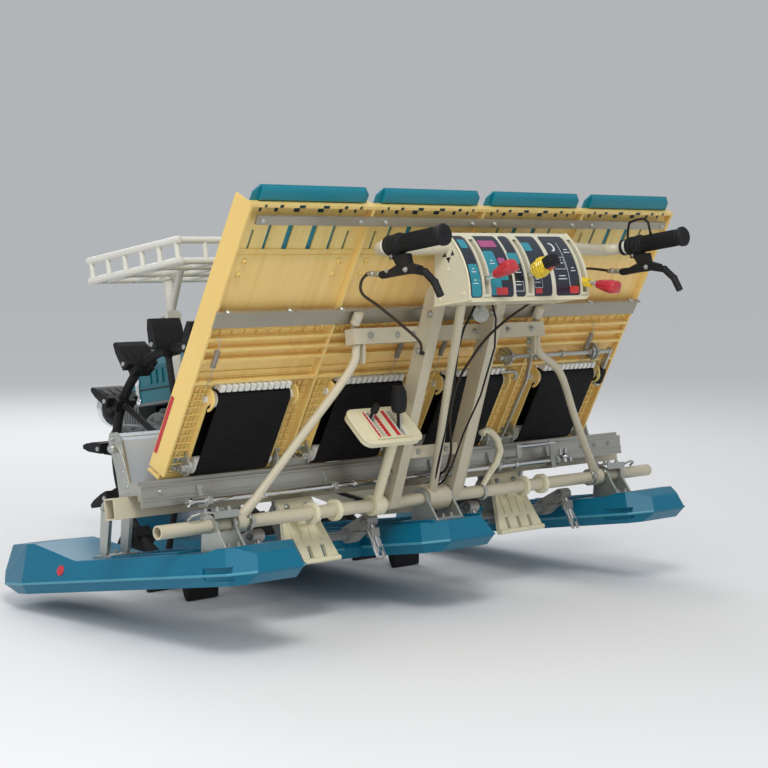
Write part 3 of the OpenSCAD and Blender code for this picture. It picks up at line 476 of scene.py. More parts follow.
# %% Bosses and ribs of the tray
BOSS = [(6, 0), (5, 3), (4.2, 6), (2, 6), (2, 3)]
BOSS_PLACES = ((450, 113), (424, 118), (450, -116), (424, -111), (313, 133), (313, -133), (313, 0))
RIB_PLACES = (214, 226, 300, 312, 462, 474)
bosses = []
for bay in BAYS:
    for u, v in BOSS_PLACES:
        bosses.append(turned(BOSS, (u, bay + v, 0), (0, 0, 1), 18))
    for u in RIB_PLACES:
        bosses.append(block((u, bay - 140, 0), (u + 1.6, bay + 140, 3)))
    for k in (-4, -3, -2, -1, 1, 2, 3, 4):
        v = bay + k * 29
        bosses.append(block((304, v, 0), (322, v + 1.6, 6)))
piece("tray_bosses", bosses, TRAY_PLASTIC, "seedling_tray", TRAY, bevel=0.4)
print("bosses", len(BOSS_PLACES) * len(BAYS))

# %% [markdown]
# The belts carry shallow cleats. Each is a small wedge, set out at equal distances along the belt's
# loop: two straight runs and the half turns over the rollers.

# %% Belt cleats
BELT_R = 19.0
CLEATS = 66
CLEAT = ((-1.1, -0.4), (1.1, -0.4), (0.7, 0.7), (-0.7, 0.7))
STRAIGHT = BELT_HIGH - BELT_LOW
BELT_LOOP = 2 * STRAIGHT + 2 * math.pi * BELT_R


def on_belt(distance):
    half_turn = math.pi * BELT_R
    if distance < STRAIGHT:
        return BELT_LOW + distance, ROLLER_W + BELT_R, 0.0
    distance -= STRAIGHT
    if distance < half_turn:
        a = distance / BELT_R
        return BELT_HIGH + BELT_R * math.sin(a), ROLLER_W + BELT_R * math.cos(a), a
    distance -= half_turn
    if distance < STRAIGHT:
        return BELT_HIGH - distance, ROLLER_W - BELT_R, math.pi
    a = math.pi + (distance - STRAIGHT) / BELT_R
    return BELT_LOW + BELT_R * math.sin(a), ROLLER_W + BELT_R * math.cos(a), a


cleats = []
for bay in BAYS:
    for k in range(CLEATS):
        u, w, a = on_belt(k * BELT_LOOP / CLEATS)
        c, s = math.cos(a), math.sin(a)
        wedge = [(u + c * p + s * q, w - s * p + c * q) for p, q in CLEAT]
        cleats.append(plate(wedge, bay - BELT_HALF + 1.5, bay + BELT_HALF - 1.5))
piece("belt_cleats", cleats, BELT, "seedling_tray", TRAY, smooth_faces=False)
print("cleats", len(cleats), "on loops of", round(BELT_LOOP), "mm")

# %% [markdown]
# A white toothed strip turns with each top roller, and a white bush stands at each roller's end.

# %% Roller teeth and bushes
BUSH = [(11, -2), (11, 4), (7, 5), (7, 8), (3, 8), (3, 6)]
TOOTH_PITCH = 14.6
teeth, bushes = [], []
for bay in BAYS:
    teeth.append(block((191, bay - BELT_HALF, 1), (203, bay + BELT_HALF, 4)))
    for k in range(12):
        v = bay - BELT_HALF + 2 + k * TOOTH_PITCH
        teeth.append(block((192, v, 3), (205, v + 10.5, 19)))
    for side in (-1, 1):
        for u in (BELT_LOW, BELT_HIGH):
            bushes.append(turned(BUSH, (u, bay + side * (BELT_HALF + 12), ROLLER_W), (0, side, 0), 20))
piece("roller_teeth", teeth, NYLON, "seedling_tray", TRAY, bevel=0.6)
piece("roller_bushes", bushes, NYLON, "seedling_tray", TRAY, bevel=0.3)
print("teeth", len(teeth), "bushes", len(bushes))

# %% [markdown]
# A small spring pulls on each bay's catch. Thin wire runs from it to the belt's top roller, and a
# second wire goes up to a hook in the rib above. A coil is a tube along a helix.

# %% Springs and wires
def coil(start, end, radius, wire, turns, step=12):
    start, end = Vector(start), Vector(end)
    along = (end - start).normalized()
    side = along.orthogonal().normalized()
    other = along.cross(side)
    count = turns * step
    path = []
    for i in range(count + 1):
        a = 2 * math.pi * i / step
        path.append(start + (end - start) * i / count + (side * math.cos(a) + other * math.sin(a)) * radius)
    return tube(path, wire, 6)


springs, wires = [], []
for v in (572, 105, -19, -481):
    springs.append(coil((246, v, 17), (280, v, 17), 4.6, 0.95, 11))
    springs.append(turned([(2, 0), (4.8, 1), (4.8, 3), (2, 3.5)], (244, v, 17), (1, 0, 0), 14))
    wires.append(tube([(200, v - 5, 10), (215, v - 4, 14), (232, v - 1, 18), (247, v, 17)], 0.9, 6))
    end_hook = [(279, v, 17), (292, v + 1, 18), (300, v + 4, 15), (303, v + 6, 9), (299, v + 7, 6)]
    wires.append(tube(end_hook, 0.9, 6))
piece("catch_springs", springs, ARM_METAL, "seedling_tray", TRAY)
piece("catch_wires", wires, GALVANISED, "seedling_tray", TRAY)
print("springs", len(springs) // 2)

# %% [markdown]
# A bolt is a washer, a six-sided head and the end of its stud, each a turned part.

# %% Bolt
def bolt(at, toward, head=8.0, tall=4.0, washer=1.5):
    low = turned([(head * 0.75, 0), (head * 0.75, washer)], at, toward, 16)
    cap = turned([(head * 0.55, washer), (head * 0.58, washer + tall * 0.8), (head * 0.45, washer + tall)],
                 at, toward, 6)
    stud = turned([(head * 0.28, washer + tall), (head * 0.28, washer + tall + 2.0)], at, toward, 10)
    return join([low, cap, stud])


print("a bolt has", len(bolt((0, 0, 0), (0, 0, 1))[1]), "faces")

# %% [markdown]
# The belts are driven from a shaft across the right half of the tray. It has a ratchet with a torsion
# spring at both ends, and a bent link takes its stroke from the foot of the tray.

# %% Feed drive
DRIVE_U, DRIVE_W = 234, 20
LINK_V = -292
TEETH = 14


def ratchet(v, side):
    disc = [(16, 0), (17, 1), (17, 4), (11, 4.5), (11, 9), (7, 9.5), (7, 14)]
    shapes = [turned(disc, (DRIVE_U, v, DRIVE_W), (0, side, 0), 28)]
    for k in range(TEETH):
        a = 2 * math.pi * k / TEETH
        tip = [(DRIVE_U + r * math.cos(a + lag), DRIVE_W + r * math.sin(a + lag))
               for r, lag in ((16, 0), (20, 0.18), (16, 0.42))]
        shapes.append(plate(tip, v, v + side * 4))
    shapes.append(coil((DRIVE_U, v + side * 6, DRIVE_W), (DRIVE_U, v + side * 13, DRIVE_W), 12.5, 1.2, 4, 18))
    cheek = [(222, 2), (250, 2), (252, 16), (244, 34), (226, 34), (218, 16)]
    shapes.append(plate(cheek, v - side * 3, v - side * 1))
    shapes.append(bolt((246, v - side * 1, 10), (0, side, 0), 6, 3))
    return join(shapes)


drive = [ratchet(-222, -1), ratchet(-508, 1)]
link = [(226, 12), (242, 12), (242, 28), (188, 40), (30, 34), (30, 28), (186, 32), (226, 22)]
drive.append(plate(link, LINK_V - 4, LINK_V))
drive.append(bolt((DRIVE_U, LINK_V, DRIVE_W), (0, 1, 0), 8, 4))
drive.append(bolt((36, LINK_V, 31), (0, 1, 0), 8, 4))
drive.append(tube([(196, -222, 17), (196, -268, 17)], 4, 12))
drive.append(tube([(196, -268, 17), (192, -276, 19), (184, -279, 20), (176, -278, 17)], 4, 12))
for v in (-204, -404, -500):
    drive.append(turned([(5.2, 0), (8, 0.5), (8, 6.5), (5.2, 7)], (DRIVE_U, v, DRIVE_W), (0, 1, 0), 20))
piece("feed_drive", drive, GALVANISED, "seedling_tray", TRAY, bevel=0.3)
print("feed drive shapes", len(drive))

# %% [markdown]
# The crank on the shaft's outer end has a ribbed rubber knob.

# %% Feed knob
KNOB_V, KNOB_W = -562, 21
KNOB = [(5, 0), (9.2, 2), (10.6, 8), (11.4, 30), (10, 36), (6, 38)]
knob = [turned(KNOB, (192, KNOB_V, KNOB_W), (-1, 0, 0), 28)]
for c, s in around(10):
    rib_ends = [(u, KNOB_V + out * c, KNOB_W + out * s) for u, out in ((184, 10.6), (160, 11.2))]
    knob.append(tube(rib_ends, 1.2, 6))
piece("feed_knob", knob, RUBBER, "seedling_tray", TRAY)
print("knob ribs", len(knob) - 1)

# %% [markdown]
# A plated bracket with a bush stands at the foot of every belt, and a channel ties the brackets of
# neighbouring belts.

# %% Roller brackets at the tray's foot
BRACKET = [(15, 2), (58, 2), (58, 8), (44, 26), (24, 30), (15, 22)]
FLANGE = [(15, 0), (50, 0), (50, 3), (15, 3)]
CHANNEL = [(18, 24), (34, 24), (34, 20), (22, 20), (22, 12), (18, 12)]
FOOT_BUSH = [(9, 0), (9, 10), (5, 11), (5, 6)]
feet = []
for bay in BAYS:
    for side in (-1, 1):
        v = bay + side * 107
        feet.append(plate(BRACKET, v, v + side * 3))
        feet.append(plate(FLANGE, *sorted((v, v + side * 26))))
        feet.append(turned(FOOT_BUSH, (BELT_LOW, v + side * 3, 16), (0, side, 0), 20))
        for u in (46, 24):
            feet.append(bolt((u, v + side * 16, 3), (0, 0, 1), 6, 3))
feet += [plate(CHANNEL, 261, 339), plate(CHANNEL, -339, -261)]
piece("roller_brackets", feet, GALVANISED, "seedling_tray", TRAY, bevel=0.4)
print("brackets", 2 * len(BAYS))

# %% [markdown]
# The bar is held by pairs of bolts, the angle by flat rivets on its face and studs on its flange. A
# narrow red stripe marks both side walls.

# %% Tray fasteners and stripe
STUD_PLACES = (578, 430, 300, 76, 0, -130, -300, -430, -570)
screws = []
for bay in BAYS:
    for k in (-118, 118):
        screws.append(bolt((539.5, bay + k, 18), (0, 0, 1), 7, 3))
    for k in (-100, 0, 100):
        screws.append(turned([(5, 0), (4.6, 0.9), (2.4, 1.4)], (330, bay + k, 12.9), (0, 0, 1), 14))
piece("tray_screws", screws, GALVANISED, "seedling_tray", TRAY)
studs = [turned([(7, 0), (7, 2), (5, 4), (0, 4)], (358, v, 17), (1, 0, 0), 18) for v in STUD_PLACES]
piece("bar_clips", studs, GALVANISED, "seedling_tray", TRAY, bevel=0.5)
stripe = both_sides([block((42, 600.2, -33), (160, 600.9, -24))])
piece("tray_red_stripe", stripe, KNOB_RED, "seedling_tray", TRAY)
print("tray fasteners", len(screws) + len(studs))

# %% [markdown]
# The tray's slots run under its top edge. Slim edges bring them to their real width, and dark marks of
# painted shade stand for the open slots where they come through at the edge itself.

# %% Slots at the tray's top
EDGES = ((9, 22, 58), (36, 47, 58), (65, 74, 58), (82, 91, 58), (108, 112.2, 40), (117.8, 122, 40))
ENDS = ((29, 7), (78, 4), (115, 2.6))
narrow, marks = [], []
for bay in BAYS:
    for side in (-1, 1):
        for inner, outer, long in EDGES:
            low, high = sorted((bay + side * inner, bay + side * outer))
            narrow.append(block((473, low, -3.9), (473 + long, high, -0.1)))
        for middle, half in ENDS:
            low, high = bay + side * middle - half, bay + side * middle + half
            marks.append(block((562.4, low, 11.9), (567.6, high, 12.25)))
            marks.append(block((561.75, low, 0), (562.1, high, 12.2)))
            marks.append(block((549, low, -0.2), (562, high, 0.3)))
piece("slot_edges", narrow, TRAY_PLASTIC, "seedling_tray", TRAY, bevel=0.3)
# painted shade: dark marks put where the open slots show through the top edge
piece("slot_ends_painted_shade", marks, SLOT_SHADE_PAINT, "seedling_tray", TRAY)
print("slot edges", len(narrow), "marks", len(marks))

# %% [markdown]
# The extension plates end in a rounded lip, which is what the photograph shows of them.

# %% Lips of the extension plates
LIP = [(569, -7.2), (569, -1.5), (572, 1.5), (588, 2.5), (594, 0.5), (597.4, -4), (597.6, -7.2)]
lips = []
for bay in BAYS:
    lips.append(plate(LIP, bay - 125, bay + 125))
    for side in (-1, 1):
        lips.append(block((570, bay + side * 126 - 2, -9), (594, bay + side * 126 + 2, -7)))
    lips.append(tube([(594.5, bay - 122, -5.5), (596, bay, -5.5), (594.5, bay + 122, -5.5)], 2.4, 10))
    lips.append(block((575, bay - 118, -8.4), (577, bay + 118, -6.9)))
piece("plate_lips", lips, LIP_TEAL, "seedling_tray", TRAY, bevel=1.0)
print("tray pieces", len(made))

# %% [markdown]
# The lever panel is curved, so its decals are patches laid on the same arc, with rounded corners. They
# carry only plain blocks of colour and simple marks.

# %% Panel and its patches
PANEL = Vector((-554, 260))
PANEL_R = 146.0


def on_panel(y, z, lift):
    r = PANEL_R + lift
    return (PANEL.x - math.sqrt(r * r - (z - PANEL.y) ** 2), y, z)


def patch(right, left, low, high, lift=0.35, corner=6.0, rows=16):
    corners, faces = [], []
    for i in range(rows + 1):
        share = i / rows
        z = low + (high - low) * (share * share * (3 - 2 * share))
        near = min(z - low, high - z)
        inset = corner - math.sqrt(max(0.0, corner ** 2 - max(0.0, corner - near) ** 2))
        corners += [on_panel(right + inset, z, lift), on_panel(left - inset, z, lift)]
        if i:
            faces.append((2 * i - 2, 2 * i - 1, 2 * i + 1, 2 * i))
    return corners, faces


print("the panel's middle is at", on_panel(0, PANEL.y, 0))

# %% [markdown]
# The decals are glossy ink, the wrap on a lever is creased yellow tape, and its stem is chromed.

# %% Finishes of the panel
# navy ink of the decals, also used as painted shade in the box's side holes
NAVY_INK_AND_HOLE_SHADE = finish("decal_navy_and_hole_shade", (0.006, 0.012, 0.028), rough=0.3, coat=0.5, edge=0, vary=0.1)
TEAL_DECAL = finish("decal_teal", (0.01, 0.26, 0.33), rough=0.3, coat=0.5, edge=0)
RED_DECAL = finish("decal_red", (0.60, 0.03, 0.03), rough=0.3, coat=0.5, edge=0)
PALE = finish("decal_pale", (0.72, 0.76, 0.76), rough=0.4, edge=0)
ROSE = finish("decal_rose", (0.42, 0.08, 0.22), rough=0.35, edge=0)
YELLOW = finish("wrap_yellow", (0.80, 0.56, 0.02), rough=0.28, coat=0.3, vary=0.15, bump=0.05)
CHROME = finish("chrome", (0.80, 0.81, 0.82), rough=0.12, metal=1.0, vary=0.02, bump=0.0)
print("finishes", len(bpy.data.materials) - 1)

# %% [markdown]
# Five dark fields fill the panel between its slots, and smaller blocks of colour lie on them.

# %% Panel decals
DECAL_LOW, DECAL_HIGH = 236, 358
FIELDS = ((151.5, 183), (63, 128.5), (28.5, 56), (-50, 5.5), (-134.5, -62))
ground = [patch(right, left, DECAL_LOW, DECAL_HIGH) for right, left in FIELDS]
piece("decal_ground", ground, NAVY_INK_AND_HOLE_SHADE, "chassis")
teal = [patch(154, 180, 238, 300, 0.6, 5), patch(96, 126, 240, 326, 0.6, 4), patch(74, 96, 268, 290, 0.6, 3),
        patch(31, 60, 300, 322, 0.6, 3), patch(-22, 2, 326, 344, 0.6, 3), patch(157, 177, 332, 350, 0.6, 3)]
piece("decal_teal", teal, TEAL_DECAL, "chassis")
red = [patch(80, 112, 240, 254, 0.9, 3), patch(-130, -102, 240, 254, 0.9, 3), patch(-20, 0, 241, 251, 0.9, 3)]
piece("decal_red", red, RED_DECAL, "chassis")
rose = [patch(76, 122, 334, 348, 0.6, 3), patch(72, 92, 300, 312, 0.6, 3)]
piece("decal_rose", rose, ROSE, "chassis")
print("blocks of colour", len(ground) + len(teal) + len(red) + len(rose))

# %% [markdown]
# The pale marks are a crescent, thin lines, pairs of dashes and three open frames, all without words.

# %% Pale marks
DASHES = ((48, 258, 16), (-8, 262, 16), (-8, 290, 18), (-84, 300, 24), (-120, 322, 18), (44, 282, 18),
          (110, 276, 18), (110, 300, 14), (168, 284, 12), (168, 262, 14), (-84, 268, 26), (-120, 284, 14))
FRAMES = ((46, 246, 26, 18), (-10, 252, 24, 18), (-84, 288, 34, 24))
moon = arc((-82, 334), 9, 60, 301, 20) + arc((-79, 334), 7, 290, 69, -20)
pale = [([on_panel(y, z, 0.75) for y, z in moon], [tuple(range(len(moon)))])]
for y, low, high in ((-104.6, 250, 344), (59.4, 240, 354), (-56.6, 240, 354)):
    pale.append(patch(y, y + 1.2, low, high, 0.5, 0.5))
for y, z, wide in DASHES:
    for k in (0, 6):
        half = (wide - k) / 2
        pale.append(patch(y - half, y + half, z + k, z + k + 1.6, 0.8, 0.6, 3))
for y, z, wide, tall in FRAMES:
    right, left = y - wide / 2, y + wide / 2
    for low in (z, z + tall):
        pale.append(patch(right, left, low, low + 0.9, 0.75, 0.3, 2))
    for edge in (right, left - 0.9):
        pale.append(patch(edge, edge + 0.9, z, z + tall, 0.75, 0.3, 4))
piece("decal_marks", pale, PALE, "chassis")
print("marks", len(pale))

# %% [markdown]
# Rubber brushes close the slots. The box has a lip round its edges, small screws, and three plain
# three-sided holes in its left cheek, drawn as dark plates of painted shade. The lip's bow has a negative
# radius, which puts it behind the middle of the arc, where the panel is.

# %% Control box trim
SLOTS = (140, 17, -146)
brushes = []
for y in SLOTS:
    rows = [(PANEL.x - math.sqrt((PANEL_R - 10) ** 2 - (z - PANEL.y) ** 2), z) for z in range(243, 350, 7)]
    corners = [(x, y + side * 5.8, z) for x, z in rows for side in (-1, 1)]
    brushes.append((corners, [(2 * i, 2 * i + 1, 2 * i + 3, 2 * i + 2) for i in range(len(rows) - 1)]))
piece("slot_brushes", brushes, RUBBER, "chassis")
trim = []
for y, side in ((187.4, 1), (-157.4, -1)):
    bow = arc(PANEL, -(PANEL_R + 1.2), 11, -46, -4)
    trim.append(tube([(x, y, z) for x, z in bow], 2.2, 8))
    trim.append(tube([(-606, y, 232), (-697, y, 232)], 2.0, 8))
    for x, z in ((-622, 244), (-684, 246), (-634, 350), (-652, 296)):
        trim.append(turned([(4.5, -1), (4.5, 0.8), (2.5, 1.8), (1.2, 1.0)], (x, y, z), (0, side, 0), 14))
trim.append(tube([(-697.5, 186, 233), (-697.5, -156, 233)], 2.2, 8))
trim.append(block((-700, -152, 228), (-688, 182, 231.5)))
for y in (150, 60, -40, -120):
    trim.append(turned([(4, 0), (4, 1.5), (2, 2.4)], (-650, y, 231), (0, 0, -1), 14))
piece("box_trim", trim, CREAM_PLASTIC, "chassis", bevel=0.3)
HOLES = ([(-662, 318), (-650, 318), (-656, 307)], [(-668, 330), (-662, 320), (-672, 320)],
         [(-650, 330), (-640, 320), (-652, 320)])
# painted shade: dark plates laid where the three holes are
piece("box_side_holes_painted_shade", [plate(hole, 187.2, 187.9) for hole in HOLES], NAVY_INK_AND_HOLE_SHADE, "chassis")
print("box trim", made[-3:])

# %% [markdown]
# Three levers come out of the slots. Each has a chromed stem and a flat paddle, whose cross section is
# a rounded box that grows toward its end.

# %% Levers and paddles
LEVERS = [((-686, 140, 266), (-722, 136, 276)), ((-687, 17, 272), (-722, 14, 284)),
          ((-686, -146, 266), (-732, -150, 253))]
PADDLE = ((0, 8.5, 6.5), (3, 10, 8), (14, 12, 9.5), (30, 15.5, 12.2), (42, 16, 12.6), (46, 14.6, 11.4),
          (47.5, 10, 8))


def lever_line(number):
    foot, grip = (Vector(end) for end in LEVERS[number])
    return foot, grip, (grip - foot).normalized()


def paddle(number):
    foot, grip, along = lever_line(number)
    flat = Vector((0, 0, 1)).cross(along).normalized()
    up = along.cross(flat)
    corners = []
    for height, wide, tall in PADDLE:
        for c, s in around(16):
            c, s = math.copysign(abs(c) ** 0.55, c), math.copysign(abs(s) ** 0.55, s)
            corners.append(tuple(grip + along * height + flat * wide * c + up * tall * s))
    return corners, skin(len(PADDLE), 16)


stems = []
for number in range(len(LEVERS)):
    foot, grip, along = lever_line(number)
    stems.append(turned([(4.4, 6), (4.4, (grip - foot).length - 1)], foot, along, 20))
    stems.append(turned([(6.5, 0), (7.2, 1), (7.2, 4), (5, 5)], grip - along * 5, along, 20))
piece("lever_stems", stems, CHROME, "chassis", bevel=0.2)
piece("paddles_red", [paddle(0), paddle(2)], KNOB_RED, "chassis", bevel=0.4)
piece("paddle_black", [paddle(1)], RUBBER, "chassis", bevel=0.4)
print("levers", len(LEVERS))

# %% [markdown]
# Yellow tape is wound round the middle lever's knob and the right one's stem. Its turns are rings that
# come back to their first point, and the wide ones are a little uneven.

# %% Yellow tape
random.seed(4)
wraps = []
_, grip, along = lever_line(1)
for height in range(0, 30, 4):
    radius = 17 - abs(height - 14) * 0.25
    ring = []
    for c, s in around(14) + around(1):
        middle = grip + along * (height - 3 + random.uniform(-1, 1))
        out = Vector((0, 1, 0)) * c + Vector((0.2, 0, 1)) * s
        ring.append(middle + out * (radius + random.uniform(-1.2, 1.2)))
    wraps.append(tube(ring, 2.6, 6))
foot, _, along = lever_line(2)
for height in (14, 19, 24, 29):
    middle = foot + along * height
    ring = []
    for c, s in around(12) + around(1):
        ring.append(middle + Vector((0, 1, 0)) * (8 * c) + Vector((0.3, 0, 1)) * (8 * s))
    wraps.append(tube(ring, 2.8, 6))
piece("yellow_wrap", wraps, YELLOW, "chassis")
print("turns of tape", len(wraps))

# %% [markdown]
# Each grip is ribbed along its middle. The left one is drawn, and the right one is its mirror image.

# %% Ribs of the grips
GRIP_X, GRIP_Y, GRIP_Z = -690, 350, 338
grip_middle = Vector((GRIP_X, GRIP_Y, GRIP_Z))
ribs = []
for c, s in around(24):
    y, z = GRIP_Y + 16.1 * c, GRIP_Z + 16.1 * s
    ribs.append(tube([(GRIP_X + x, y, z) for x in (-17, -19, -98, -100)], [0.3, 1.2, 1.2, 0.3], 6))
for x in (-12, -104):
    collar = [(16.2, -1.5), (17.6, 0), (16.2, 1.5)]
    ribs.append(turned(collar, grip_middle + Vector((x, 0, 0)), (1, 0, 0), 28))
ribs.append(turned([(6, 0), (6, 0.5), (3, 0.5), (3, -3)], grip_middle + Vector((-117, 0, 0)), (-1, 0, 0), 16))
piece("grip_ribs", both_sides(ribs), RUBBER, "chassis", bevel=0.25)
print("ribs on a grip", len(ribs) - 3)

# %% [markdown]
# A two-band clamp with a light ring holds the clutch lever's bracket on the bar.

# %% Clamps of the clutch levers
bands = []
for x, wide in ((-687, 9), (-675, 10)):
    band = [(18.3, 0), (19, 1), (19, wide - 1), (18.3, wide)]
    bands.append(turned(band, (x, GRIP_Y, GRIP_Z), (1, 0, 0), 28))
bands.append(block((-684, GRIP_Y - 6, GRIP_Z - 25), (-668, GRIP_Y + 6, GRIP_Z - 15)))
bands.append(turned([(8, 0), (8.6, 1), (8.6, 7), (8, 8)], (-708, GRIP_Y - 9, 289), (0, 1, 0), 20))
bands.append(turned([(5.5, 0), (7.5, 3), (7.5, 18), (5, 24)], (-658, GRIP_Y, 288), (1, 0, 0.05), 18))
piece("clamp_bands", both_sides(bands), RUBBER, "chassis", bevel=0.25)
rings = [turned([(14.5, 0), (15, 0.5), (15, 2.5), (14.5, 3)], (-664, GRIP_Y, GRIP_Z), (1, 0, 0), 28),
         turned([(13.6, 0), (14.2, 1), (14.2, 5), (13.6, 6)], (-660, GRIP_Y, GRIP_Z), (1, 0, 0), 28)]
piece("bar_rings", both_sides(rings), NYLON, "chassis", bevel=0.25)
print("clamp pieces", made[-2:])

# %% [markdown]
# Plated bolts close the clamp, and a knurled adjuster joins the cable to the lever's bracket.

# %% Cable adjusters
CLAMP_BOLTS = ((-676, 6, 318, 1, 6, 3), (-676, -6, 318, -1, 6, 2), (-708, 8, 289, 1, 7, 3),
               (-708, -9, 289, -1, 7, 3), (-660, 8, 293, 1, 5, 2))
plated = []
for x, y, z, facing, head, tall in CLAMP_BOLTS:
    plated.append(bolt((x, GRIP_Y + y, z), (0, facing, 0), head, tall))
barrel = Vector((-634, GRIP_Y, 290.8))
sleeve = [(4.4, 0), (5.2, 1), (5.2, 13), (4.4, 14), (4.4, 16), (5.6, 17), (5.6, 23), (4.4, 24), (4.2, 30)]
plated.append(turned(sleeve, barrel, (1, 0, 0.17), 18))
for c, s in around(12):
    out = Vector((0, c * 5.7, s * 5.7))
    plated.append(tube([barrel + Vector((17.2, 0, 3)) + out, barrel + Vector((22.6, 0, 3.9)) + out], 0.5, 4))
piece("cable_adjusters", both_sides(plated), GALVANISED, "chassis", bevel=0.25)
print("shapes on an adjuster", len(plated))

# %% [markdown]
# A loop of thick wire guards the right lever's clamp.

# %% Guard loop
LOOP = [(-652, -362, 352), (-654, -366, 376), (-662, -362, 388), (-690, -350, 390), (-716, -342, 388),
        (-727, -340, 378), (-729, -341, 356)]
guard = [tube(LOOP, 2.6, 10)]
guard.append(turned([(15, 0), (16.5, 1), (16.5, 6), (15, 7)], (-655, -GRIP_Y, GRIP_Z), (1, 0, 0), 24))
guard.append(tube([(-652, -356, 350), (-652, -362, 354)], 3.2, 10))
guard.append(tube([(-729, -341, 357), (-729, -344, 350)], 3.2, 10))
piece("guard_loop", guard, RUBBER, "chassis")
print("grip pieces", made[-5:])

# %% [markdown]
# The lever console is tilted on its column, so it gets a frame of its own. It has a rounded rim, a
# raised frame round its scales and a screw in each corner.

# %% Console rim
console_tilt = Matrix.Rotation(math.radians(-50), 4, "Y")
CONSOLE = LEVEL @ Matrix.Translation(Vector((-460, 216, 12)) * MM) @ console_tilt
outline = arc((25, 57), 20, 0, 91, 15)
outline += [(-x, y) for x, y in reversed(outline)]
outline += [(x, -y) for x, y in reversed(outline)]
rim = [tube([(x, y, 11.2) for x, y in outline + outline[:1]], 2.0, 8)]
rim.append(tube([(x, y, 15.6) for x, y in ((-36, -46), (36, -46), (36, 46), (-36, 46), (-36, -46))], 1.2, 6))
for x, y in ((-38, -66), (38, -66), (-38, 66), (38, 66)):
    rim.append(turned([(4, 0), (4, 1.5), (1.6, 2.4), (1.6, 1.2)], (x, y, 12), (0, 0, 1), 12))
piece("console_rim", rim, CREAM_PLASTIC, "chassis", CONSOLE, bevel=0.2)
print("console rim", len(outline), "points")

# %% [markdown]
# Its two slots have scales in red, with white edges and ticks.

# %% Console scales
SCALE_HALF = 33
SCALES = ((-18, -8), (9, 19), (34.5, 40))
scales = [block((-SCALE_HALF, low, 16), (SCALE_HALF, high, 16.5)) for low, high in SCALES]
piece("console_scales", scales, RED_DECAL, "chassis", CONSOLE)
ticks = []
for slot_y in (-27, 27):
    for side in (-1, 1):
        y = slot_y + side * 5.4
        ticks.append(block((-SCALE_HALF, y - 0.8, 16), (SCALE_HALF, y + 0.8, 16.8)))
        for k in range(9):
            x = -30 + k * 7.4
            ticks.append(block((x, slot_y + side * 6, 16), (x + 1.4, slot_y + side * 10, 16.9)))
piece("console_ticks", ticks, PALE, "chassis", CONSOLE)
print("ticks", len(ticks))

# %% [markdown]
# One lever is a flat steel strip with a big oval knob, the other a small tab. Below, two plates and a
# cross pin carry the console.

# %% Console levers and underside
BLADES = ((-22, -27, 10, 42, 7), (16, 27, 21, 34, 5))
blades = []
for foot_x, y, tip_x, tip_z, half in BLADES:
    strip = [(foot_x - half, 5), (foot_x + half, 5), (tip_x + half, tip_z), (tip_x - half, tip_z)]
    blades.append(plate(strip, y - 1.6, y + 1.6))
piece("console_blades", blades, GALVANISED, "chassis", CONSOLE, bevel=0.3)
base, tip = Vector((6, -27, 36)), Vector((41, -27, 76))
big = [(7, 0), (13, 3), (15.4, 12), (15.8, 30), (14.6, 42), (11, 50), (5, 53)]
small = [(4, 0), (7.4, 1), (7.8, 12), (6.4, 17), (3, 19)]
knobs = [turned(big, base, tip - base, 26), turned(small, (19.5, 27, 29), (0.15, 0, 1), 20)]
piece("console_knobs", knobs, RUBBER, "chassis", CONSOLE, bevel=0.2)
cheek = [(-30, 2), (30, 2), (18, -14), (-22, -14)]
under = [plate(cheek, -30, -27), plate(cheek, 27, 30), tube([(-20, -40, -8), (-20, 40, -8)], 5, 12),
         bolt((-20, -40, -8), (0, -1, 0), 9, 5), bolt((-20, 40, -8), (0, 1, 0), 9, 5)]
piece("console_underside", under, GALVANISED, "chassis", CONSOLE, bevel=0.3)
print("console pieces", made[-6:])

# %% [markdown]
# A given route turns into a smooth line when a cubic curve is run through its points.

# %% Smooth line
def smooth(points, steps=6):
    points = [Vector(p) for p in points]
    ends = [points[0] * 2 - points[1]] + points + [points[-1] * 2 - points[-2]]
    line = []
    for i in range(1, len(ends) - 2):
        a, b, c, d = ends[i - 1:i + 3]
        for k in range(steps):
            t = k / steps
            line.append((2 * b + (c - a) * t + (2 * a - 5 * b + 4 * c - d) * t * t
                         + (3 * b - a - 3 * c + d) * t ** 3) / 2)
    return line + [points[-1]]


print("points on a smooth line", len(smooth([(0, 0, 0), (1, 0, 0), (2, 1, 0)])))

# %% [markdown]
# The two control cables are redrawn as smooth curves through the points of the solids' cables. A
# sleeve covers each end.

# %% Control cables
CABLE = finish("cable_sheath", (0.030, 0.018, 0.010), rough=0.4, shine=0.4)
ROUTES = {
    "left": [(-606, 350, 296), (-586, 352, 284), (-578, 345, 262), (-573, 300, 238), (-564, 230, 198),
             (-550, 180, 172), (-526, 152, 157), (-515, 143, 151), (-515, 136.3, 151)],
    "right": [(-606, -350, 296), (-582, -346, 302), (-566, -325, 306), (-560, -285, 299), (-560, -210, 270),
              (-560, -131, 234), (-558, -65, 205), (-540, -23, 173), (-512, 2, 132), (-480, 14, 87),
              (-445, 8, 20), (-432, 0, -40), (-396, -18, -78), (-364, -22, -92), (-364, -22, -104.6)],
}
for name, route in ROUTES.items():
    y = route[0][1]
    end, before = Vector(route[-1]), Vector(route[-2])
    line = tube(smooth([(-655, y, 288), (-640, y, 290)] + route), 2.8, 12)
    sleeves = [tube([(-612, y, 295.4), (-602, y, 295.6)], 4.2, 14),
               tube([end, end + (before - end).normalized() * 6], 4, 12)]
    cable = piece("cable_line_" + name, [line] + sleeves, CABLE, "chassis")
    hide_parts("cable_" + name)
print("cable pieces", made[-2:])

# %% [markdown]
# The engine is a plain block in the solids, and here it gets its real parts. First comes the crankcase,
# which takes the block's place: a cast body with ribs, a round cover on its side and two feet.

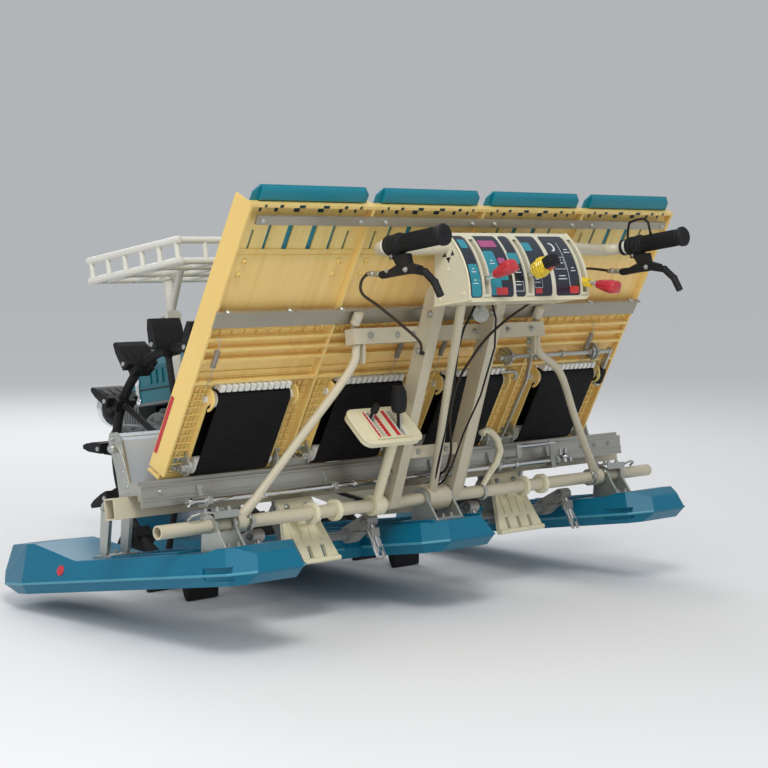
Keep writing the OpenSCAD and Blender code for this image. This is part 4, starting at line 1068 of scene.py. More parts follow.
# %% Crankcase
core = [plate([(436, -28), (556, -28), (572, -12), (572, 58), (556, 72), (436, 72)], -76, 76)]
core.append(plate([(426, -20), (436, -20), (436, 60), (426, 60)], -70, 70))
for z in range(-18, 66, 14):
    core.append(block((444, -79, z), (564, 79, z + 3)))
core.append(turned([(46, 0), (46, 6), (40, 10), (20, 10), (18, 14), (0, 14)], (505, 76, 22), (0, 1, 0), 36))
for low, high in ((-30, -20), (58, 66)):
    core.append(block((442, -98, low), (512, 98, high)))
engine = piece("engine_crankcase", core, ENGINE_DARK, "chassis", bevel=1.5)
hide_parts("engine_block")
print("crankcase shapes", len(core))

# %% [markdown]
# The cylinder stands on the crankcase. It is cooled by air, so it has a stack of thin fins.

# %% Cylinder fins
FINS = 9
fins = [block((466, -50, 72), (546, 50, 134))]
for k in range(FINS):
    z = 75 + 6.6 * k
    fins.append(block((458, -60, z), (556, 60, z + 2.4)))
piece("engine_fins", fins, ENGINE_DARK, "chassis", bevel=0.5)
print("fins", FINS)

# %% [markdown]
# A round fan housing covers the right side. Its guard has sixteen spokes, and the starter's grip hangs
# in front of it. Behind the housing a hood leads the air to the fins. The tank sits on top, with a seam
# round it and a filler cap.

# %% Fan housing and tank
FAN_X, FAN_Z = 514, 60
HOUSING = [(84, 0), (86, 6), (86, 30), (78, 38), (34, 40), (30, 42), (0, 42)]
HOOD = [(452, 70), (560, 70), (566, 128), (552, 137), (464, 137), (452, 128)]
TANK_SIDE = [(438, 140), (566, 140), (572, 150), (570, 176), (556, 187), (452, 187), (436, 176), (434, 150)]
cowl = [turned(HOUSING, (FAN_X, -76, FAN_Z), (0, -1, 0), 48), plate(HOOD, -76, -58)]
for c, s in around(16):
    cowl.append(tube([(FAN_X + out * c, -115, FAN_Z + out * s) for out in (40, 70)], 2.6, 6))
cowl.append(tube([(560, -112, 118), (574, -114, 130), (596, -100, 130)], 5, 10))
cowl.append(turned([(9, 0), (13, 5), (13, 34), (9, 40)], (596, -84, 130), (0, -1, 0), 20))
cowl.append(plate(TANK_SIDE, -58, 58))
cowl.append(block((436, -61, 154), (570, 61, 158)))
cowl.append(turned([(20, -4), (20, 0), (17, 2.6), (0, 2.6)], (505, -20, 187), (0, 0, 1), 28))
piece("engine_cowl_and_tank", cowl, ENGINE_DARK, "chassis", bevel=1.2)
print("cowl shapes", len(cowl))

# %% [markdown]
# The silencer is a folded box with ribs on its outside, a bent pipe and a shield behind it.

# %% Silencer
MUFFLER = [(450, 78), (500, 78), (508, 88), (508, 128), (500, 136), (450, 136), (442, 128), (442, 88)]
muffler = [plate(MUFFLER, 64, 108)]
for x in range(448, 502, 9):
    muffler.append(block((x, 108, 84), (x + 4, 111, 130)))
muffler.append(tube([(508, 86, 100), (524, 86, 98), (532, 84, 88), (532, 82, 74)], 8, 14))
muffler.append(block((436, 62, 84), (439, 112, 134)))
piece("engine_silencer", muffler, CAST_METAL, "chassis", bevel=1)
print("silencer ribs", len(muffler) - 3)

# %% [markdown]
# The engine's front carries a box for the carburettor, a round air cleaner, a hose and a ring of bolts.
# Two arms and a plate hold the headlamp. They are narrow, so that the lamp can be seen past the engine.

# %% Engine fittings
LAMP_ARM = [(572, 66), (578, 66), (584, 92), (640, 112), (640, 176), (634, 176), (630, 120), (572, 100)]
hung = [block((524, 40, 96), (566, 72, 132)), turned([(6, 0), (6, 10)], (545, 56, 132), (0, 0, 1), 14)]
hung.append(turned([(22, 0), (24, 4), (24, 28), (18, 34), (0, 34)], (556, 38, 40), (1, 0, 0), 28))
hung.append(tube([(545, 56, 142), (556, 50, 150), (580, 30, 140), (590, 16, 118), (584, 6, 96)], 4, 10))
for y, z in ((-62, -14), (-62, 58), (62, -14), (62, 58), (0, -14), (0, 60)):
    hung.append(bolt((572, y, z), (1, 0, 0), 9, 5))
hung += [plate(LAMP_ARM, -16, -12), plate(LAMP_ARM, 12, 16), block((633, -26, 110), (640, 26, 178))]
piece("engine_fittings", hung, ENGINE_DARK, "chassis", bevel=0.8)
print("engine pieces", made[-5:])

# %% [markdown]
# The headlamp is a dark drum behind a bright ring, with three small lugs round it. Its lens bulges a
# little and has fine flutes.

# %% Headlamp
LAMP_X, LAMP_Z = 640, 144
LAMP_RING = [(45.2, 26), (47.9, 28), (47.9, 42), (46.5, 45.5), (43, 46), (41.5, 43), (41.5, 33), (45.2, 33)]
drum = [turned([(20, 0), (34, 3), (42, 10), (45, 20), (45, 34), (0, 34)], (LAMP_X, 0, LAMP_Z), (1, 0, 0), 48)]
for c, s in around(3, 0.5):
    y, z = 44 * c, LAMP_Z + 44 * s
    drum.append(block((LAMP_X + 14, y - 3, z - 3), (LAMP_X + 30, y + 3, z + 3)))
drum.append(turned([(10, 0), (10, 3), (6, 4), (0, 4)], (LAMP_X + 10, 38, LAMP_Z - 14), (-0.8, 0.6, 0), 16))
lamp = piece("headlamp_drum", drum, ENGINE_DARK, "chassis", bevel=0.6)
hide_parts("headlamp")
ring = [turned(LAMP_RING, (LAMP_X, 0, LAMP_Z), (1, 0, 0), 64)]
piece("headlamp_ring", ring, CHROME, "chassis")
lens = [turned([(41.8, 36), (40, 40), (30, 43), (16, 44.6), (0, 45)], (LAMP_X, 0, LAMP_Z), (1, 0, 0), 48)]
for k in range(-6, 7):
    bulge = 43.4 - 0.06 * k * k
    lens.append(block((LAMP_X + 38, 6 * k - 0.5, LAMP_Z - 33), (LAMP_X + bulge, 6 * k + 0.5, LAMP_Z + 33)))
piece("headlamp_lens", lens, NYLON, "chassis")
print("headlamp pieces", made[-3:])

# %% [markdown]
# Dark seams run along both sides of the bonnet and across its back. Each side has louvres between two
# beads, and two bright latches. Two more beads lie on the top.

# %% Bonnet seam, louvres and latches
seam = [block((156, 139.6, 163), (414, 141.2, 165.4)), block((260, 139.6, 137), (262, 141.2, 164))]
seam = both_sides(seam)
seam.append(block((152, -138, 135.5), (154.5, 138, 138)))
piece("bonnet_seam", seam, RUBBER, "chassis")
louvres = []
for k in range(7):
    x = 210 + 22 * k
    louvres.append(plate([(x, 176), (x + 12, 176), (x + 12, 206), (x, 206)], 139.5, 142.2))
    louvres.append(block((x - 1.5, 139.6, 175), (x + 1, 143.4, 207)))
louvres += [block((160, 139.5, 168), (410, 141.8, 170.5)), block((160, 139.5, 210), (404, 141.8, 212))]
louvres = both_sides(louvres)
for y in (-96, 90):
    louvres.append(block((206, y, 254), (382, y + 6, 257)))
piece("bonnet_louvres", louvres, TEAL_PAINT, "chassis", bevel=0.6)
latches = []
for x in (186, 392):
    latches.append(block((x - 6, 140, 142), (x + 6, 144, 178)))
    latches.append(turned([(9, 0), (9, 2), (5, 4), (0, 4)], (x, 141, 184), (0, 1, 0), 18))
    latches.append(turned([(8, 0), (8, 2), (4, 3), (0, 3)], (x, 141, 140), (0, 1, 0), 18))
piece("bonnet_latches", both_sides(latches), CHROME, "chassis", bevel=0.6)
print("bonnet pieces", made[-3:])

# %% [markdown]
# The gearcase is cast. Bolts hold its halves together, a ring of eight closes the bearing on each side,
# and ribs stiffen its walls. A filler plug leans back on its top.

# %% Gearcase ribs and bolts
CASE_SIDE = 95
BEARING_X, BEARING_Z = 345, 45
PLUG = [(12, 0), (12, 8), (8, 10), (8, 18), (11, 20), (11, 26), (0, 27)]
case = []
for side in (-1, 1):
    wall = side * CASE_SIDE
    for x, z in ((232, -30), (232, 70), (300, -48), (372, -48), (388, 84), (330, 108), (262, 108)):
        case.append(bolt((x, wall, z), (0, side, 0), 9, 5))
    for c, s in around(8, 0.5):
        case.append(bolt((BEARING_X + 56 * c, side * 130, BEARING_Z + 56 * s), (0, side, 0), 8, 4))
    for z in (20, -10):
        case.append(block((240, wall - 3, z), (290, wall + 3, z + 6)))
    for z in (30, 58):
        case.append(bolt((404, side * 60, z), (1, 0, 0), 9, 4))
    case.append(turned([(14, 0), (14, 6), (9, 8), (9, 14), (0, 14)], (262, wall, 46), (0, side, 0), 6))
case.append(turned(PLUG, (218, -50, 92), (-0.3, 0, 1), 20))
for z in (-20, 10, 40, 70):
    for right in (-90, 36):
        case.append(block((214, right, z), (218, right + 54, z + 4)))
piece("gearcase_ribs_and_bolts", case, CAST_METAL, "chassis", bevel=0.5)
print("shapes on the gearcase", len(case))

# %% [markdown]
# Each swinging chain case has a stepped lid over both of its sprockets, a plate between them and a row
# of bolts along both edges.

# %% Chain case covers
COVER_Y = 240
LID = ((1, -1), (1, 4), (0.72, 6.5), (0.45, 6.5), (0.4, 9), (0, 9))
covers = []
for x, z, radius in ((AXLE_X, 0, 44), (BEARING_X, BEARING_Z, 38)):
    covers.append(turned([(radius * share, height) for share, height in LID], (x, COVER_Y, z), (0, 1, 0), 40))
    for c, s in around(6):
        covers.append(bolt((x + radius * 0.86 * c, COVER_Y + 3, z + radius * 0.86 * s), (0, 1, 0), 6.5, 3))
for x in range(96, 295, 33):
    middle = BEARING_Z * (x - AXLE_X) / (BEARING_X - AXLE_X)
    for edge in (-40, 40):
        covers.append(bolt((x, COVER_Y, middle + edge), (0, 1, 0), 6.5, 3))
covers.append(plate([(112, -24), (290, 4), (292, 74), (112, 42)], COVER_Y, COVER_Y + 2.5))
piece("chain_case_covers", both_sides(covers), CAST_METAL, "chassis", bevel=0.5)
print("case pieces", made[-2:])

# %% [markdown]
# A lug wheel is drawn round its axle. This helper gives the place that is so far out from the axle and
# so far aside from the middle of a lug or spoke.

# %% Place on a wheel
LUGS, SPOKES = 14, 7
WHEEL_Y, RIM_R = 300, 230
FIRST_LUG = math.degrees(PITCH) - 90 + 180 / LUGS


def on_wheel(degrees, out, aside, y):
    c, s = math.cos(math.radians(degrees)), math.sin(math.radians(degrees))
    return AXLE_X + out * c - aside * s, y, out * s + aside * c


print("the first lug points to", round(FIRST_LUG, 2), "degrees")

# %% [markdown]
# Each rubber lug has four ribs on both of its faces, and it is moulded over a swelling of the rim. Weld
# beads widen the ends of the spokes.

# %% Rubber of a wheel
LUG_RIBS = ((248, 278, 12, 14.6), (246, 272, -11.5, -9))
SWELLING = ((RIM_R, -15), (RIM_R + 0.6, -7), (RIM_R + 0.6, 7), (RIM_R, 15))


def lug_rubber(degrees, middle):
    shapes = []
    for y in (-32, -11, 11, 32):
        for low, high, near, far in LUG_RIBS:
            corners = ((low, near), (high, near * 0.72), (high, far * 0.72), (low, far))
            rib = [on_wheel(degrees, out, aside, 0) for out, aside in corners]
            shapes.append(plate([(x, z) for x, _, z in rib], middle + y - 2, middle + y + 2))
    shapes.append(tube([on_wheel(degrees, out, aside, middle) for out, aside in SWELLING], 13, 16))
    return shapes


def spoke_beads(degrees, middle):
    ends = ((34, 42, [10.5, 8]), (212, 221, [8, 11]))
    return [tube([on_wheel(degrees, out, 0, middle) for out in (inner, outer)], thick, 16)
            for inner, outer, thick in ends]


print("shapes on a lug", len(lug_rubber(0, 0)))

# %% [markdown]
# A small rivet holds each lug from both sides, and two bolted plates close the hub. Every piece of a
# wheel rides on that wheel's body, so it turns with it.

# %% Wheel fittings
RIVET = [(5.5, 0), (5, 2.4), (0, 2.8)]
HUB_PLATE = [(19, 0), (33, 0), (33, 3), (24, 5), (19, 5)]


def rivets(degrees, middle):
    return [turned(RIVET, on_wheel(degrees, 242, 0, middle + side * 40), (0, side, 0), 12)
            for side in (1, -1)]


def hub_plate(middle, side):
    shapes = [turned(HUB_PLATE, (AXLE_X, middle + side * 35, 0), (0, side, 0), 36)]
    for c, s in around(6):
        shapes.append(bolt((AXLE_X + 27.5 * c, middle + side * 38, 27.5 * s), (0, side, 0), 6, 3))
    return shapes


for name, middle in (("wheel_left", WHEEL_Y), ("wheel_right", -WHEEL_Y)):
    rubber, plated = [], []
    for k in range(LUGS):
        rubber += lug_rubber(FIRST_LUG + k * 360 / LUGS, middle)
        plated += rivets(FIRST_LUG + k * 360 / LUGS, middle)
    for k in range(SPOKES):
        rubber += spoke_beads(FIRST_LUG + k * 360 / SPOKES, middle)
    plated += hub_plate(middle, -1) + hub_plate(middle, 1)
    piece(name + "_ribs", rubber, RUBBER, name, bevel=0.3)
    piece(name + "_bolts", plated, GALVANISED, name)
print("wheel pieces", made[-4:])

# %% [markdown]
# Two bent tubes brace the handle. In the solids they are a little too thick, so slimmer ones with a
# smooth bend take their place. Each ends in a ring on the crossbar and a plate at its top.

# %% Braces
BAR_X, BAR_Z = -367, -134
MID_Y = 35
BRACE_RING = [(13.2, 0), (18, 0), (18.8, 1), (18.8, 19), (18, 20), (13.2, 20)]
braces = []
for side in (-1, 1):
    top_y = MID_Y + side * 258
    route = [(-495, MID_Y + side * 260, 174), (-491.5, MID_Y + side * 267, 142), (-474, side * 322 + 10, 98),
             (-430, side * 403 + 6, 4), (-380, side * 498, -106)]
    braces.append(tube(smooth(route, 5), 8.2, 18))
    braces.append(tube([(-391, side * 478, -84), (-372, side * 514, -122)], [8.4, 10.5], 18))
    braces.append(turned(BRACE_RING, (BAR_X, side * 522 - 10, BAR_Z), (0, 1, 0), 36))
    braces.append(plate([(-503, 176), (-483, 176), (-484, 150), (-497, 150)], top_y - 2.5, top_y + 2.5))
bent = piece("brace_tubes", braces, FRAME_PAINT, "chassis", bevel=0.3)
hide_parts("braces")
print("brace shapes", len(braces))

# %% [markdown]
# Behind the tray, plated rings and saddles clamp the frame together on the crossbar. A small wire loop
# stands beside each saddle, two wire hooks hold the cables, and rubber plugs close the bar.

# %% Clamps on the crossbar
RING_WIDE = 8
FLOAT_Y = 566
RING = [(13.1, 0), (17.6, 0), (18.4, 1), (18.4, RING_WIDE - 1), (17.6, RING_WIDE), (13.1, RING_WIDE)]


def bar_ring(y, lug=True):
    right, left = y - RING_WIDE / 2, y + RING_WIDE / 2
    shapes = [turned(RING, (BAR_X, right, BAR_Z), (0, 1, 0), 32)]
    if lug:
        shapes.append(block((-390, right, -138), (-381, left, -130)))
        shapes.append(bolt((-386, y, -130), (0, 0, 1), 6, 4))
    return join(shapes)


clamps = []
for side in (-1, 1):
    clamps += [bar_ring(side * 499), bar_ring(side * 543)]
    right, left = side * FLOAT_Y - 29, side * FLOAT_Y + 29
    clamps.append(block((-392, right, -111.8), (-342, left, -108)))
    clamps.append(block((-394, right, -122), (-391, left, -108)))
    for x in (-384, -350):
        for y in (552, 580):
            clamps.append(bolt((x, side * y, -108), (0, 0, 1), 7, 4))
    wire = [(-372, 610, -119), (-384, 612, -112), (-388, 626, -109), (-384, 640, -112), (-372, 642, -119)]
    clamps.append(tube([(x, side * y, z) for x, y, z in wire], 2.6, 8))
clamps.append(bar_ring(-144, lug=False))
for y in (-28, 4):
    clamps.append(tube([(-352, y, -116), (-350, y, -106), (-340, y + 4, -101), (-326, y + 6, -106)], 2.4, 8))
piece("crossbar_clamps", clamps, GALVANISED, "chassis", bevel=0.4)
plugs = []
for side in (-1, 1):
    plugs.append(turned([(9.9, 0), (9.9, 2), (7, 3), (0, 3)], (BAR_X, side * 690, BAR_Z), (0, side, 0), 24))
piece("crossbar_plugs", plugs, RUBBER, "chassis")
print("shapes on the crossbar", len(clamps) + len(plugs))

# %% [markdown]
# Bolts join the handle's posts, the tray's support, the frame tube and the rail.

# %% Frame bolts
POST_BOLTS = ((-384, -90), (-392, -74), (-504, 156), (-546, 224))
frame_bolts = []
for side in (-1, 1):
    post = MID_Y + side * 88
    y = MID_Y + side * 243.6
    frame_bolts.append(bolt((-489, y, 166), (0, -side, 0), 9, 5))
    frame_bolts.append(bolt((-486, y, 147), (0, -side, 0), 7, 4))
    frame_bolts.append(bolt((-507, MID_Y + side * 232, 190), (-1, 0, 0), 9, 5))
    for across in (60, 116, 160):
        frame_bolts.append(bolt((-507, MID_Y + side * across, 190), (-1, 0, 0), 8, 4))
    for facing in (1, -1):
        for x, z in POST_BOLTS:
            frame_bolts.append(bolt((x, post + facing * 13, z), (0, facing, 0), 9, 5))
    frame_bolts.append(bolt((-412, MID_Y + side * 40, -38), (-1, 0, 0), 8, 4))
    frame_bolts.append(bolt((-481.5, MID_Y + side * 268, 132), (1, 0, 0.2), 7, 4))
for x in (180, 90, 0, -90, -170):
    middle = -6 - 125 * (200 - x) / 390
    for side in (-1, 1):
        frame_bolts.append(bolt((x, side * 30, middle), (0, side, 0), 9, 5))
RAIL_BACK = -310
for y in (-650, -599, -553, -240, 240, 553, 650):
    frame_bolts.append(bolt((RAIL_BACK, y, -63), (-1, 0, 0), 7, 3))
piece("frame_bolts", frame_bolts, GALVANISED, "chassis")
print("frame bolts", len(frame_bolts))

# %% [markdown]
# A bright rod runs along the rail's back and ends in a bent crank between two plates. Collars keep it
# in place. The rail itself is extruded, so fine lines run along its face.

# %% Rods and lines of the rail
ROD_X, ROD_Z = -335, -88
CRANK_Y = -452
CRANK_CHEEK = [(-356, -94), (-340, -94), (-332, -78), (-336, -64), (-342, -64), (-341, -78), (-352, -84)]
RAIL_LINES = ((-50, 2.4), (-55, 1.2), (-71, 1.2), (-77, 2.4), (-88, 2.0))
rods = [tube([(ROD_X, 600, ROD_Z), (ROD_X, -440, ROD_Z), (-337, CRANK_Y, -84), (-345, -460, -80)], 5, 14)]
rods.append(tube([(-340, -300, -50), (-340, -424, -50)], 4, 12))
for y in (600, 420, 180):
    rods.append(turned([(5.1, 0), (8, 0.5), (8, 7.5), (5.1, 8)], (ROD_X, y, ROD_Z), (0, 1, 0), 18))
rods.append(turned([(5.1, 0), (9, 1), (9, 9), (5.1, 10)], (ROD_X, -300, ROD_Z), (0, 1, 0), 18))
for y in (CRANK_Y - 9, CRANK_Y + 9):
    rods.append(plate(CRANK_CHEEK, y - 2, y + 2))
piece("rail_rods", rods, CHROME, "chassis")
lines = []
for z, deep in RAIL_LINES:
    lines.append(block((RAIL_BACK - deep, -692.5, z - 1.6), (RAIL_BACK + 0.2, 692.5, z + 1.6)))
piece("rail_ribs", lines, ALUMINIUM, "chassis", bevel=0.5)
print("rods", made[-2:])

# %% [markdown]
# Small brackets hold the rod to the rail, a folded frame carries the short rod, and an upright plate
# with a buffer stands at each end of the front cover. A small round knob hangs under the control box.

# %% Brackets of the rail
ROD_HOLDER = [(-310, -99), (-310, -56), (-314, -56), (-318, -78), (-342, -79), (-344, -84), (-343, -94),
              (-338, -99)]
UPRIGHT = [(-246, -58), (-222, -58), (-214, 4), (-206, 30), (-216, 34), (-232, 6)]
BUFFER = [(7, 0), (9, 3), (9, 12), (6, 16), (0, 16)]
BOX_KNOB = [(14, 0), (16, 1), (16, 4), (6, 4.5), (6, 8), (0, 8)]
holders = [plate(ROD_HOLDER, y - 5, y + 5) for y in (560, 240, -60, -240, -430)]
holders.append(block((-343, -422, -101), (-339, -408, -44)))
holders.append(block((-343, -312, -70), (-339, -298, -44)))
holders.append(block((-343, -312, -74), (RAIL_BACK, -298, -70)))
holders.append(block((-343, -422, -104), (RAIL_BACK, -408, -100)))
for side in (-1, 1):
    holders.append(plate(UPRIGHT, side * 663, side * 667))
    holders.append(turned(BUFFER, (-212, side * 666, 26), (0, side, 0), 18))
    for x, z in ((-234, -48), (-226, -20), (-200, 44)):
        holders.append(bolt((x, side * 663, z), (0, side, 0), 8, 4))
holders.append(turned(BOX_KNOB, (-606, 60, 214), (-0.7, 0.7, 0), 28))
holders.append(block((-614, 52, 224), (-600, 66, 231)))
piece("rail_brackets", holders, GALVANISED, "chassis", bevel=0.5)
print("bracket shapes", len(holders))

# %% [markdown]
# The sheet in front of the tray is bolted along its foot. It has a small tab above each bolt, and a
# rolled edge at its top.

# %% Front cover fittings
sheet = []
for side in (-1, 1):
    for y in (380, 450, 520, 590, 640):
        sheet.append(bolt((-237, side * y, -76), (1, 0, 0), 7, 3))
        sheet.append(block((-237.5, side * y - 1.5, -64), (-235.5, side * y + 1.5, -60)))
    sheet.append(tube([(-201, side * 356, 46), (-201, side * 654, 46)], 2.6, 8))
piece("front_cover_bolts", sheet, GALVANISED, "chassis")
print("front cover fittings", len(sheet))

# %% [markdown]
# A cream plastic arm bends up from the crossbar like a hook. It is a tube that swells along its bend,
# with a thinner rib on its back.

# %% Hook arm
BEND = [(-376, -144, -121), (-388, -152, -100), (-394, -172, -78), (-397, -184, -54), (-398, -178, -30),
        (-398, -164, -15), (-397, -150, -8), (-396, -140, -10)]
arm = [tube(BEND, [6, 6.5, 7.5, 8, 8, 7, 6.5, 6], 14)]
arm.append(tube([(x - 6, y, z) for x, y, z in BEND[1:7]], 3, 8))
arm.append(turned([(7, 0), (8, 2), (8, 6), (4, 8), (0, 8)], (-396, -139, -11), (0, 0.8, -0.5), 18))
piece("hook_arm", arm, CREAM_PLASTIC, "chassis")
print("hook arm", len(BEND), "points")

# %% [markdown]
# Two thin cables come down from the control box, and two thicker ones run forward along the frame tube
# to the gearcase, with a clip here and there.

# %% Loom cables
LOOMS = (([(-598, 66, 231), (-602, 84, 214), (-592, 96, 190), (-566, 92, 150), (-520, 70, 70), (-470, 50, 0),
           (-432, 38, -60), (-404, 26, -96), (-376, 14, -112)], 2.2),
         ([(-612, 30, 231), (-610, 22, 205), (-588, 10, 150), (-528, 0, 60), (-470, -2, -10), (-426, -6, -70),
           (-396, -10, -100), (-372, -12, -111)], 2.0),
         ([(-330, 33, -128), (-200, 35, -128), (-100, 35, -100), (100, 35, -38), (205, 36, -8)], 4),
         ([(-330, -33, -128), (-200, -35, -128), (-60, -35, -86), (140, -35, -24), (205, -36, -2)], 4))
looms = [tube(line, radius, 10) for line, radius in LOOMS]
for x, z in ((-230, -128), (-60, -88), (110, -35)):
    for y in (-35, 35):
        looms.append(turned([(6, 0), (6.4, 1), (6.4, 5), (6, 6)], (x, y, z), (1, 0, 0.3), 14))
piece("loom_cables", looms, RUBBER, "chassis")
print("rod and cable pieces", made[-6:])

# %% [markdown]
# A soil comb hangs from the planting beam and slopes, so it gets a frame too: x down the plate, y across
# and z out of its face.

# %% Comb frame
COMB_TOP, COMB_TIP = Vector((-283, 0, -104)), Vector((-322, 0, -232))
comb_down = (COMB_TIP - COMB_TOP).normalized()
comb_across = Vector((0, 1, 0))
comb_turn = Matrix((comb_down, comb_across, comb_down.cross(comb_across))).transposed().to_4x4()
COMB = LEVEL @ Matrix.Translation(COMB_TOP * MM) @ comb_turn
print("a comb slopes", round(math.degrees(math.acos(-comb_down.z)), 1), "degrees from upright")

# %% [markdown]
# Each comb has a bolted top, ribs down both faces of its plate, ribs along its flared sides and a rolled
# lip at its foot.

# %% Combs
COMB_Y = 306
combs, comb_screws = [], []
for face in (-1, 1):
    low, high = sorted((face * 3.8, face * 7))
    combs.append(block((34, COMB_Y - 42, low), (40, COMB_Y + 42, high)))
    for y in (-36, -12, 12, 36):
        combs.append(block((40, COMB_Y + y - 1.6, low), (92, COMB_Y + y + 1.6, high)))
    for side in (-1, 1):
        flare = ((6, 44), (42, 44), (130, 68))
        combs.append(tube([(x, COMB_Y + side * y, face * 3.5) for x, y in flare], 2.8, 8))
combs.append(tube([(131, COMB_Y - 70, -5), (131, COMB_Y + 70, -5)], 5.4, 14))
combs.append(block((34, COMB_Y - 18, -13), (56, COMB_Y + 18, -4)))
for y in (-26, 26):
    for face in (-1, 1):
        comb_screws.append(bolt((18, COMB_Y + y, face * 4), (0, 0, face), 9, 4))
piece("comb_ribs", both_sides(combs), CREAM_PLASTIC, "chassis", COMB, bevel=0.5)
piece("comb_screws", both_sides(comb_screws), GALVANISED, "chassis", COMB)
print("comb pieces", made[-2:])

# %% [markdown]
# A planting case drives an arm on each of its sides. The case has a bolted lid on both faces. An arm
# has a bolt and a cap at its pivots, a pusher rod down its fork and thin guards beside the two tines.
# There is one arm for each bay of the tray.

# %% Planting units
UNIT_Y = 300
CASE_X, CASE_Z = -250, -133
LID_BOLTS = 5
CASE_LID = [(20, 0), (20, 3), (14, 5), (0, 5)]
PIVOT_CAP = [(15, 0), (15, 2), (9, 4), (0, 4)]
TINE_GUARD = [(-336, -186), (-331, -186), (-353, -240), (-357, -238)]
units, tines = [], []
for y in (-UNIT_Y, UNIT_Y):
    for side in (-1, 1):
        units.append(turned(CASE_LID, (CASE_X, y + side * 22, CASE_Z), (0, side, 0), 28))
        for k in range(LID_BOLTS):
            a = 2 * math.pi * k / LID_BOLTS + 0.5
            place = (CASE_X + 16 * math.cos(a), y + side * 25, CASE_Z + 16 * math.sin(a))
            units.append(bolt(place, (0, side, 0), 5, 2.5))
    units.append(block((-238, y - 16, -128), (-234, y + 16, -108)))
for y in BAYS:
    for side in (-1, 1):
        units.append(bolt((-329, y + side * 14, -164), (0, side, 0), 10, 5))
        units.append(turned(PIVOT_CAP, (-272, y + side * 14, -190), (0, side, 0), 24))
        tines.append(plate(TINE_GUARD, y + side * 11, y + side * 12.4))
    units.append(block((-318, y - 15, -186), (-290, y + 15, -182)))
    tines.append(tube([(-334, y, -172), (-350, y, -222)], 3.2, 10))
    tines.append(block((-354, y - 5, -228), (-346, y + 5, -218)))
piece("planting_unit_bolts", units, CAST_METAL, "chassis", bevel=0.3)
piece("planting_tines", tines, CHROME, "chassis", bevel=0.3)
print("planting pieces", made[-2:])

# %% [markdown]
# The floats are blow moulded. A parting line runs round them as a raised lip, coloured a lighter teal as a
# painted highlight along the crease, and beads stiffen their decks. The two side floats are alike: they
# have round bosses at the tail and sloping beads toward the nose.

# %% Side floats
DECK_Z, SEAM_Z = -181, -219
OUTER_EDGE = [(-527, 54), (-488, 93.5), (150, 93.5), (257, 62.5)]
TALL_BOSS = [(15, 0), (14, 5), (11, 7), (5, 7), (5, 3), (0, 3)]
LOW_BOSS = [(12, 0), (11, 4), (4, 5), (0, 5)]
edge_line = OUTER_EDGE + [(x, -y) for x, y in reversed(OUTER_EDGE)]
edges, beads = [], []
for middle in (-FLOAT_Y, FLOAT_Y):
    edges.append(tube([(x, middle + y, SEAM_Z) for x, y in edge_line], 2.6, 8))
    for y in (middle - 52, middle + 52):
        beads.append(block((-300, y - 2.5, DECK_Z), (-100, y + 2.5, DECK_Z + 5)))
        beads.append(block((-10, y - 2.5, DECK_Z), (0, y + 2.5, DECK_Z + 4)))
    for x in range(-305, -119, 37):
        beads.append(block((x, middle - 52, DECK_Z), (x + 5, middle + 52, DECK_Z + 4.4)))
    beads.append(turned(TALL_BOSS, (-455, middle + 20, -188), (0, 0, 1), 24))
    beads.append(turned(LOW_BOSS, (-475, middle - 40, -188), (0, 0, 1), 24))
    for x in (40, 80, 120):
        top = -172 + (x - 40) * 0.16
        slope = [(x, top), (x + 5, top + 0.6), (x + 5, -180), (x, -180)]
        beads.append(plate(slope, middle - 46, middle + 46))
print("shapes on the side floats", len(edges) + len(beads))

# %% [markdown]
# The middle float is wide at the front and narrow at its tail. Its parting line and beads join those of
# the side floats in two pieces.

# %% Middle float
WIDE_EDGE = [(-249, 150), (-210, 189.6), (420, 189.6)]
TAIL_EDGE = [(-466, 64), (-426, 104.6), (-252, 104.6)]
for side in (-1, 1):
    for line in (WIDE_EDGE, TAIL_EDGE):
        edges.append(tube([(x, side * y, SEAM_Z) for x, y in line], 2.6, 8))
    beads.append(block((-230, side * 130 - 3, DECK_Z), (170, side * 130 + 3, DECK_Z + 6)))
    beads.append(block((-430, side * 70 - 3, DECK_Z), (-250, side * 70 + 3, DECK_Z + 6)))
for x in range(-210, 141, 70):
    beads.append(block((x, -130, DECK_Z), (x + 5, 130, DECK_Z + 5)))
# painted highlight on the raised parting lines
piece("float_seams_painted_highlight", edges, FLOAT_SEAM_HIGHLIGHT, "chassis")
piece("float_beads", beads, TEAL_PLASTIC, "chassis", bevel=0.8)
print("float pieces", made[-2:])

# %% [markdown]
# A red reflector faces outward near each nose. Bolts hold the brackets and links of the three floats,
# and a spring on the outer link presses the side float down.

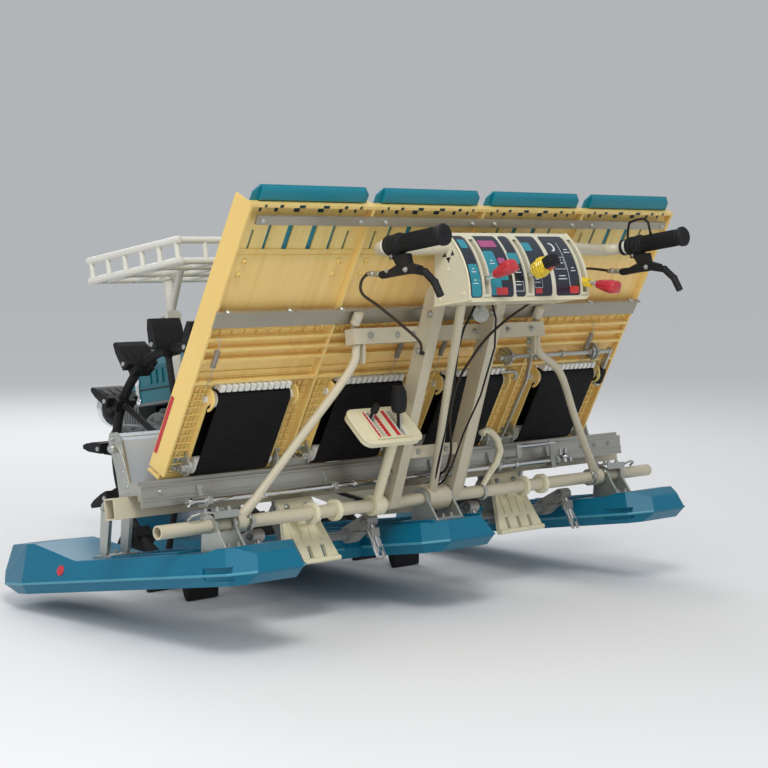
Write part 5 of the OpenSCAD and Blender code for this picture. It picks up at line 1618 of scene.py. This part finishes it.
# %% Reflectors and float bolts
reflectors = []
for side in (-1, 1):
    dish = [(11, -4), (11, 1), (9, 3), (0, 4)]
    reflectors.append(turned(dish, (22, side * 653.5, -196), (0, side, 0.42), 32))
piece("float_reflectors", reflectors, KNOB_RED, "chassis")
float_bolts = []
for middle in (-FLOAT_Y, FLOAT_Y, 0):
    for x in (-402, -346):
        for y in (middle - 12, middle + 12):
            float_bolts.append(bolt((x, y, -175), (0, 0, 1), 7, 4))
for side in (-1, 1):
    for y, facing in ((592, 1), (558, -1)):
        float_bolts.append(bolt((-35, side * y, -175), (0, 0, 1), 7, 4))
        float_bolts.append(bolt((-76, side * (y + facing * 16), -85), (0, side * facing, 0), 8, 4))
    float_bolts.append(coil((-190, side * 600, -85), (-120, side * 600, -85), 12, 1.6, 7))
for x in (288, 304):
    for side in (1, -1):
        float_bolts.append(bolt((x, side * 25, -80), (0, side, 0), 8, 4))
piece("float_bolts", float_bolts, GALVANISED, "chassis")
print("float pieces", made[-4:])

# %% [markdown]
# The seedling rack has caps on its tubes, saddles and clamps where it stands on its two posts, and a
# gusset and a collar at each post's foot.

# %% Rack fittings
RACK_X, POST_Y = 194, 180
TUBE_CAP = [(8.2, 0), (8.2, 2), (5, 3.5), (0, 3.5)]
rack = []
for side in (-1, 1):
    y = side * POST_Y
    for x, facing in ((-4, -1), (312, 1)):
        for z in (407, 451):
            rack.append(turned(TUBE_CAP, (x, side * 300, z), (facing, 0, 0), 18))
    rack.append(block((RACK_X - 14, y - 14, 392), (RACK_X + 14, y + 14, 398)))
    rack.append(block((RACK_X - 12, y - 16, 300), (RACK_X + 12, y + 16, 318)))
    rack.append(block((170, y - 4, 296), (182, y + 30, 322)))
    rack.append(plate([(176, 141), (212, 141), (204, 162), (184, 162)], y - 2, y + 2))
    rack.append(turned([(13.4, 0), (15, 1), (15, 11), (13.4, 12)], (RACK_X, y, 140), (0, 0, 1), 20))
piece("rack_fittings", rack, RACK_WHITE, "chassis", bevel=0.6)
print("shapes on the rack", len(rack))

# %% [markdown]
# Bolts close its clamps, and two rosy sleeves sit on its rear rail.

# %% Rack bolts and sleeves
rack_bolts = []
for side in (-1, 1):
    for x in (184, 204):
        rack_bolts.append(bolt((x, side * 196, 309), (0, side, 0), 7, 4))
        rack_bolts.append(bolt((x, side * 172, 141), (0, 0, 1), 7, 4))
    rack_bolts.append(bolt((RACK_X, side * POST_Y, 415), (0, 0, 1), 8, 4))
piece("rack_bolts", rack_bolts, GALVANISED, "chassis")
sleeves = [tube([(4, right, 407), (4, right + 100, 407)], 9, 16) for right in (40, -140)]
piece("rack_sleeves", sleeves, ROSE, "chassis")
print("rack pieces", made[-3:], "all pieces", len(made))
